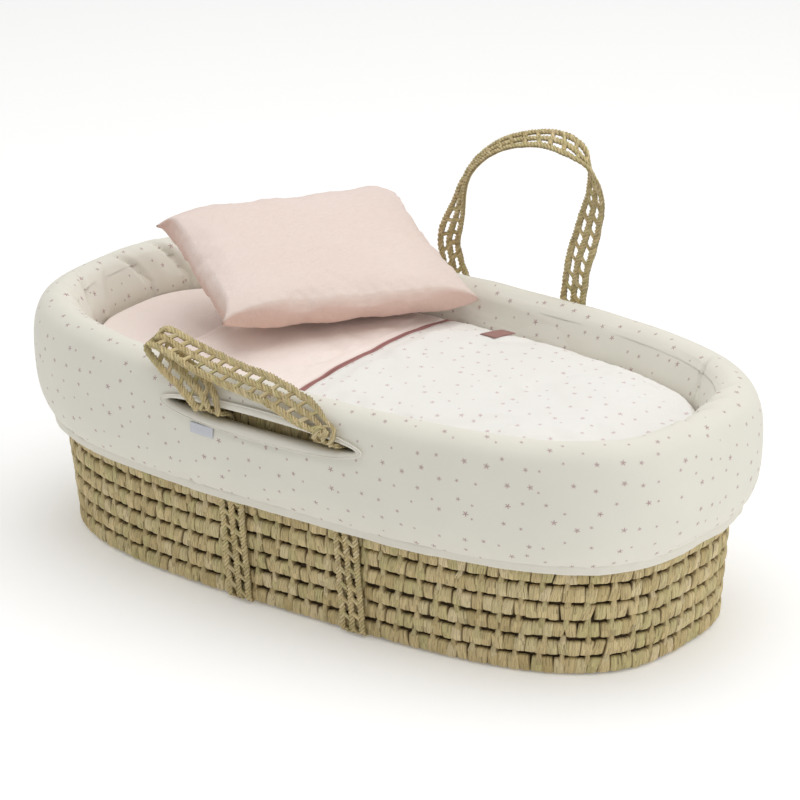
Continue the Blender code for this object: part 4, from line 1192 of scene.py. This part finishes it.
def fitted_sheet():
    """A sheet over the mattress and down its sides, 2.2 mm thick. A row is (inset, height, share of the dome)."""
    count, rings = 300, 40
    angles, _ = even_angles(count)
    rows = ((0.001, 0.1520, 0.0), (0.0, 0.1700, 0.0), (0.0, 0.1900, 0.0), (0.0010, 0.1990, 0.2), (0.0045, 0.2034, 0.6))
    rows = [(BED_A - inset, BED_B - inset, z, dome) for inset, z, dome in rows]
    shrink = np.linspace(1, 0, rings + 1)[:-1] ** 0.9
    rows += [((BED_A - 0.010) * k, (BED_B - 0.010) * k, SHEET_TOP, 1.0) for k in shrink]
    pts = []
    for a, b, z, dome in rows:
        x, y = superellipse(a, b, BED_N, angles)
        pts.append(np.stack([x, y, np.full(count, z) + dome * sheet_height(x, y)], 1))
    outer = np.stack(pts, 1)
    inner = outer * np.array([1 - 0.0024 / BED_A, 1 - 0.0024 / BED_B, 1.0]) - np.array([0, 0, 0.0022])
    n_row = outer.shape[1]
    loop = np.concatenate([outer, inner[:, ::-1]], 1)
    last = 2 * n_row - 1
    quads, _, _ = grid_faces(count, 2 * n_row, True, False)
    base = np.arange(count) * 2 * n_row
    after = np.roll(base, -1)
    # The two layers join round the bottom edge, and each closes in the middle with its own small face.
    faces = [quad for i, quad in enumerate(quads) if i % last != n_row - 1]
    faces += list(np.stack([base + last, after + last, after, base], 1))
    faces += [base + n_row - 1, (base + n_row)[::-1]]
    obj = outward(add_mesh("fitted_sheet_muslin", loop.reshape(-1, 3), faces, MAT["sheet"]))
    return keep(obj, "mattress", "pink_muslin", "fitted_sheet")


fitted_sheet()


def bed_half_width(x, inset=0.0):
    """Half width of the coverlet at a place along the bed."""
    a, b = BED_A + 0.0012 - inset, BED_B + 0.0012 - inset
    return b * np.clip(1.0 - np.abs(np.clip(x, -a, a) / a) ** BED_N, 0, 1) ** (1.0 / BED_N)


def coverlet_panel(name, x0, x1, nu, nv, crown, thick, mat, foot):
    """A padded panel of the coverlet on the sheet, full in the middle and thin at its edges."""

    def place(p, q):
        f = (p + 1) / 2
        x = x0 + (x1 - x0) * (1 - (1 - f) ** 1.7 if foot else f)
        y = bed_half_width(x, 0.0008) * np.sign(q) * np.abs(q) ** 0.9
        ends = np.clip((x1 - x) / 0.11, 0, 1) ** 0.6 if foot else np.ones_like(x)
        rise = crown * (1 - np.abs(q) ** 2.4) * ends
        tuck = 0.0035 * np.clip((np.abs(q) - 0.86) / 0.14, 0, 1) ** 2
        z = SHEET_TOP + sheet_height(x, y) * 0.9 + thick(p, q) + 0.0006 + rise - tuck
        return np.stack([x, y, z], -1), np.broadcast_to(np.array([0.0, 0.0, 1.0]), x.shape + (3,))

    return cushion(name, place, thick, nu, nv, mat)


def quilt_thick(p, q):
    edge = np.clip((1 - np.abs(q)) * 7, 0, 1) ** 0.6 * np.clip((1 - p) * 7, 0, 1) ** 0.6
    return 0.0016 + 0.0042 * edge * (0.75 + 0.25 * np.clip((p + 1) * 12, 0, 1))


def turndown_thick(p, q):
    edge = np.clip((1 - np.abs(q)) * 7, 0, 1) ** 0.6 * np.clip((1 + p) * 12, 0, 1) ** 0.5
    return 0.0016 + 0.0036 * edge * (0.8 + 0.2 * np.clip((1 - p) * 12, 0, 1))


def held_by(obj, where):
    """Full weight on the underside, the tucked edges and the seam, so that only the rest of the top swells."""
    x, y, _ = points_of(obj.data).T
    # The rows of points are counted from the panel's head end, and the first few of the underside stay free.
    under = np.arange(len(x)) >= len(x) // 2 - 200
    edge = np.abs(y) > bed_half_width(x) - 0.012
    return (under | edge | where(x)).astype(float)


quilt = coverlet_panel(
    "coverlet_quilt_cotton", QUILT_X, BED_A - 0.001, 110, 90, 0.0075, quilt_thick, MAT["quilt"], foot=True,
)
puff(quilt, 1.2, 0.003, 12, -0.012, held_by(quilt, lambda x: x < QUILT_X + 0.014))
keep(quilt, "coverlet", "quilt_cotton", "coverlet_quilt")
turndown = coverlet_panel(
    "coverlet_turndown_muslin", TURNDOWN_X, QUILT_X - 0.0088, 60, 90, 0.0070, turndown_thick, MAT["sheet"], foot=False,
)
puff(turndown, 0.8, 0.002, 12, -0.010, held_by(turndown, lambda x: x > QUILT_X - 0.022))
keep(turndown, "coverlet", "pink_muslin", "coverlet_turndown")


def piping(index):
    """One of the two rose cords sewn between the quilt and the turndown."""
    x = QUILT_X - 0.0024 - 0.0041 * index
    w = float(bed_half_width(np.array(x), 0.002))
    s = np.linspace(-1, 1, 120)
    top = SHEET_TOP + sheet_height(x + 0 * s, w * s) * 0.9 + 0.0075 * (1 - np.abs(s) ** 2.4)
    z = top + 0.0082 - 0.0072 * np.clip((np.abs(s) - 0.90) / 0.10, 0, 1) ** 1.5
    line = np.stack([x + 0.0004 * np.sin(9 * s + index), w * s, z + 0.0003 * np.sin(14 * s)], 1)
    side = np.tile([[1.0, 0.0, 0.0]], (len(s), 1))
    name = f"coverlet_piping_{index + 1}"
    face = np.cross(tangents(line), side)
    obj = tube(f"{name}_cloth", line, side, face, 0.0019, 0.0019, (3.0, 3.0), MAT["piping"], 10)
    return keep(obj, "coverlet", "rose_piping", name)


piping(0)
piping(1)


def on_quilt(x, y):
    """Height of the quilt's top at a place, read from its mesh."""
    verts = points_of(quilt.data)
    gap = np.hypot(verts[:, 0] - x, verts[:, 1] - y)
    return float(verts[gap < 0.006][:, 2].max())


label_z = [on_quilt(0.057, y) + 0.0006 for y in (0.0920, 0.1190)]
cloth_label(
    "coverlet_label_cloth",
    ((0.0630, 0.0914, label_z[0]), (0.0685, 0.1195, label_z[1]), (0.0453, 0.0912, label_z[0])),
    0.0009, MAT["rose_label"], "coverlet", "rose_label", "coverlet_label",
)


# ---- pillow -------------------------------------------------------------------------------------
PILLOW_UP = PILLOW_LONG.cross(PILLOW_DOWN).normalized()
PILLOW_UP = PILLOW_UP if PILLOW_UP.z > 0 else -PILLOW_UP


def pillow_place(scale):
    long_axis, down, up, at = (np.array(v) for v in (PILLOW_LONG, PILLOW_DOWN, PILLOW_UP, PILLOW_AT))

    def place(p, q):
        # Sides pull in between the corners, which stay out as points.
        point = (np.abs(p * q)) ** 14
        right, left, near_side, far_side = (np.clip(v, 0, 1) for v in (p, -p, q, -q))
        long_way = 1 - 0.030 * (1 - q**4) * p**2 + 0.060 * right * near_side
        long_way = long_way + 0.075 * point * (near_side + left * far_side)
        short_way = 1 - 0.030 * (1 - p**4) * q**2 + 0.030 * right * far_side
        short_way = short_way + 0.045 * point * (1 - right * far_side) - 0.050 * left * near_side
        x, y = PILLOW_L / 2 * scale * p * long_way, PILLOW_W / 2 * scale * q * short_way
        # The near left corner is lifted, and the far corners droop.
        sag = 0.0075 * np.clip(q, 0, 1) * (0.55 - 0.45 * p) - 0.006 * point * np.clip(-q, 0, 1)
        mid = at + x[..., None] * long_axis + y[..., None] * down + sag[..., None] * up
        return mid, np.broadcast_to(up, mid.shape)

    return place


def pillow_thick(p, q):
    corner = np.abs(p * q) ** 9
    crown = (1 - np.abs(p) ** 3.2) ** 0.8 * (1 - np.abs(q) ** 3.2) ** 0.8
    edge = 0.0150 * (1 - 0.86 * corner)
    side = 1 - crown
    # Fine gathers run in from the seam, longest near the corners.
    rim = np.clip((np.maximum(np.abs(p), np.abs(q)) - 0.80) / 0.20, 0, 1)
    gathers = 0.0008 * np.sin(13 * p + 3 * q) * side + 0.0006 * np.sin(19 * q - 5 * p) * side
    gathers = gathers + 0.0005 * rim * np.sin(46 * p + 5 * q) * np.sin(41 * q - 4 * p)
    return edge + 0.0100 * crown + gathers


pillow = cushion("pillowcase_muslin", pillow_place(0.985), pillow_thick, 84, 70, MAT["pillow"], 5)
puff(pillow, 2.0, 0.0035, 14, -0.014)
keep(pillow, "pillow", "pink_muslin", "pillowcase")
pad = cushion("pillow_pad_wadding", pillow_place(0.93), lambda p, q: 0.8 * pillow_thick(p, q), 30, 26, MAT["ticking"])
keep(pad, "pillow", "foam", "pillow_pad")
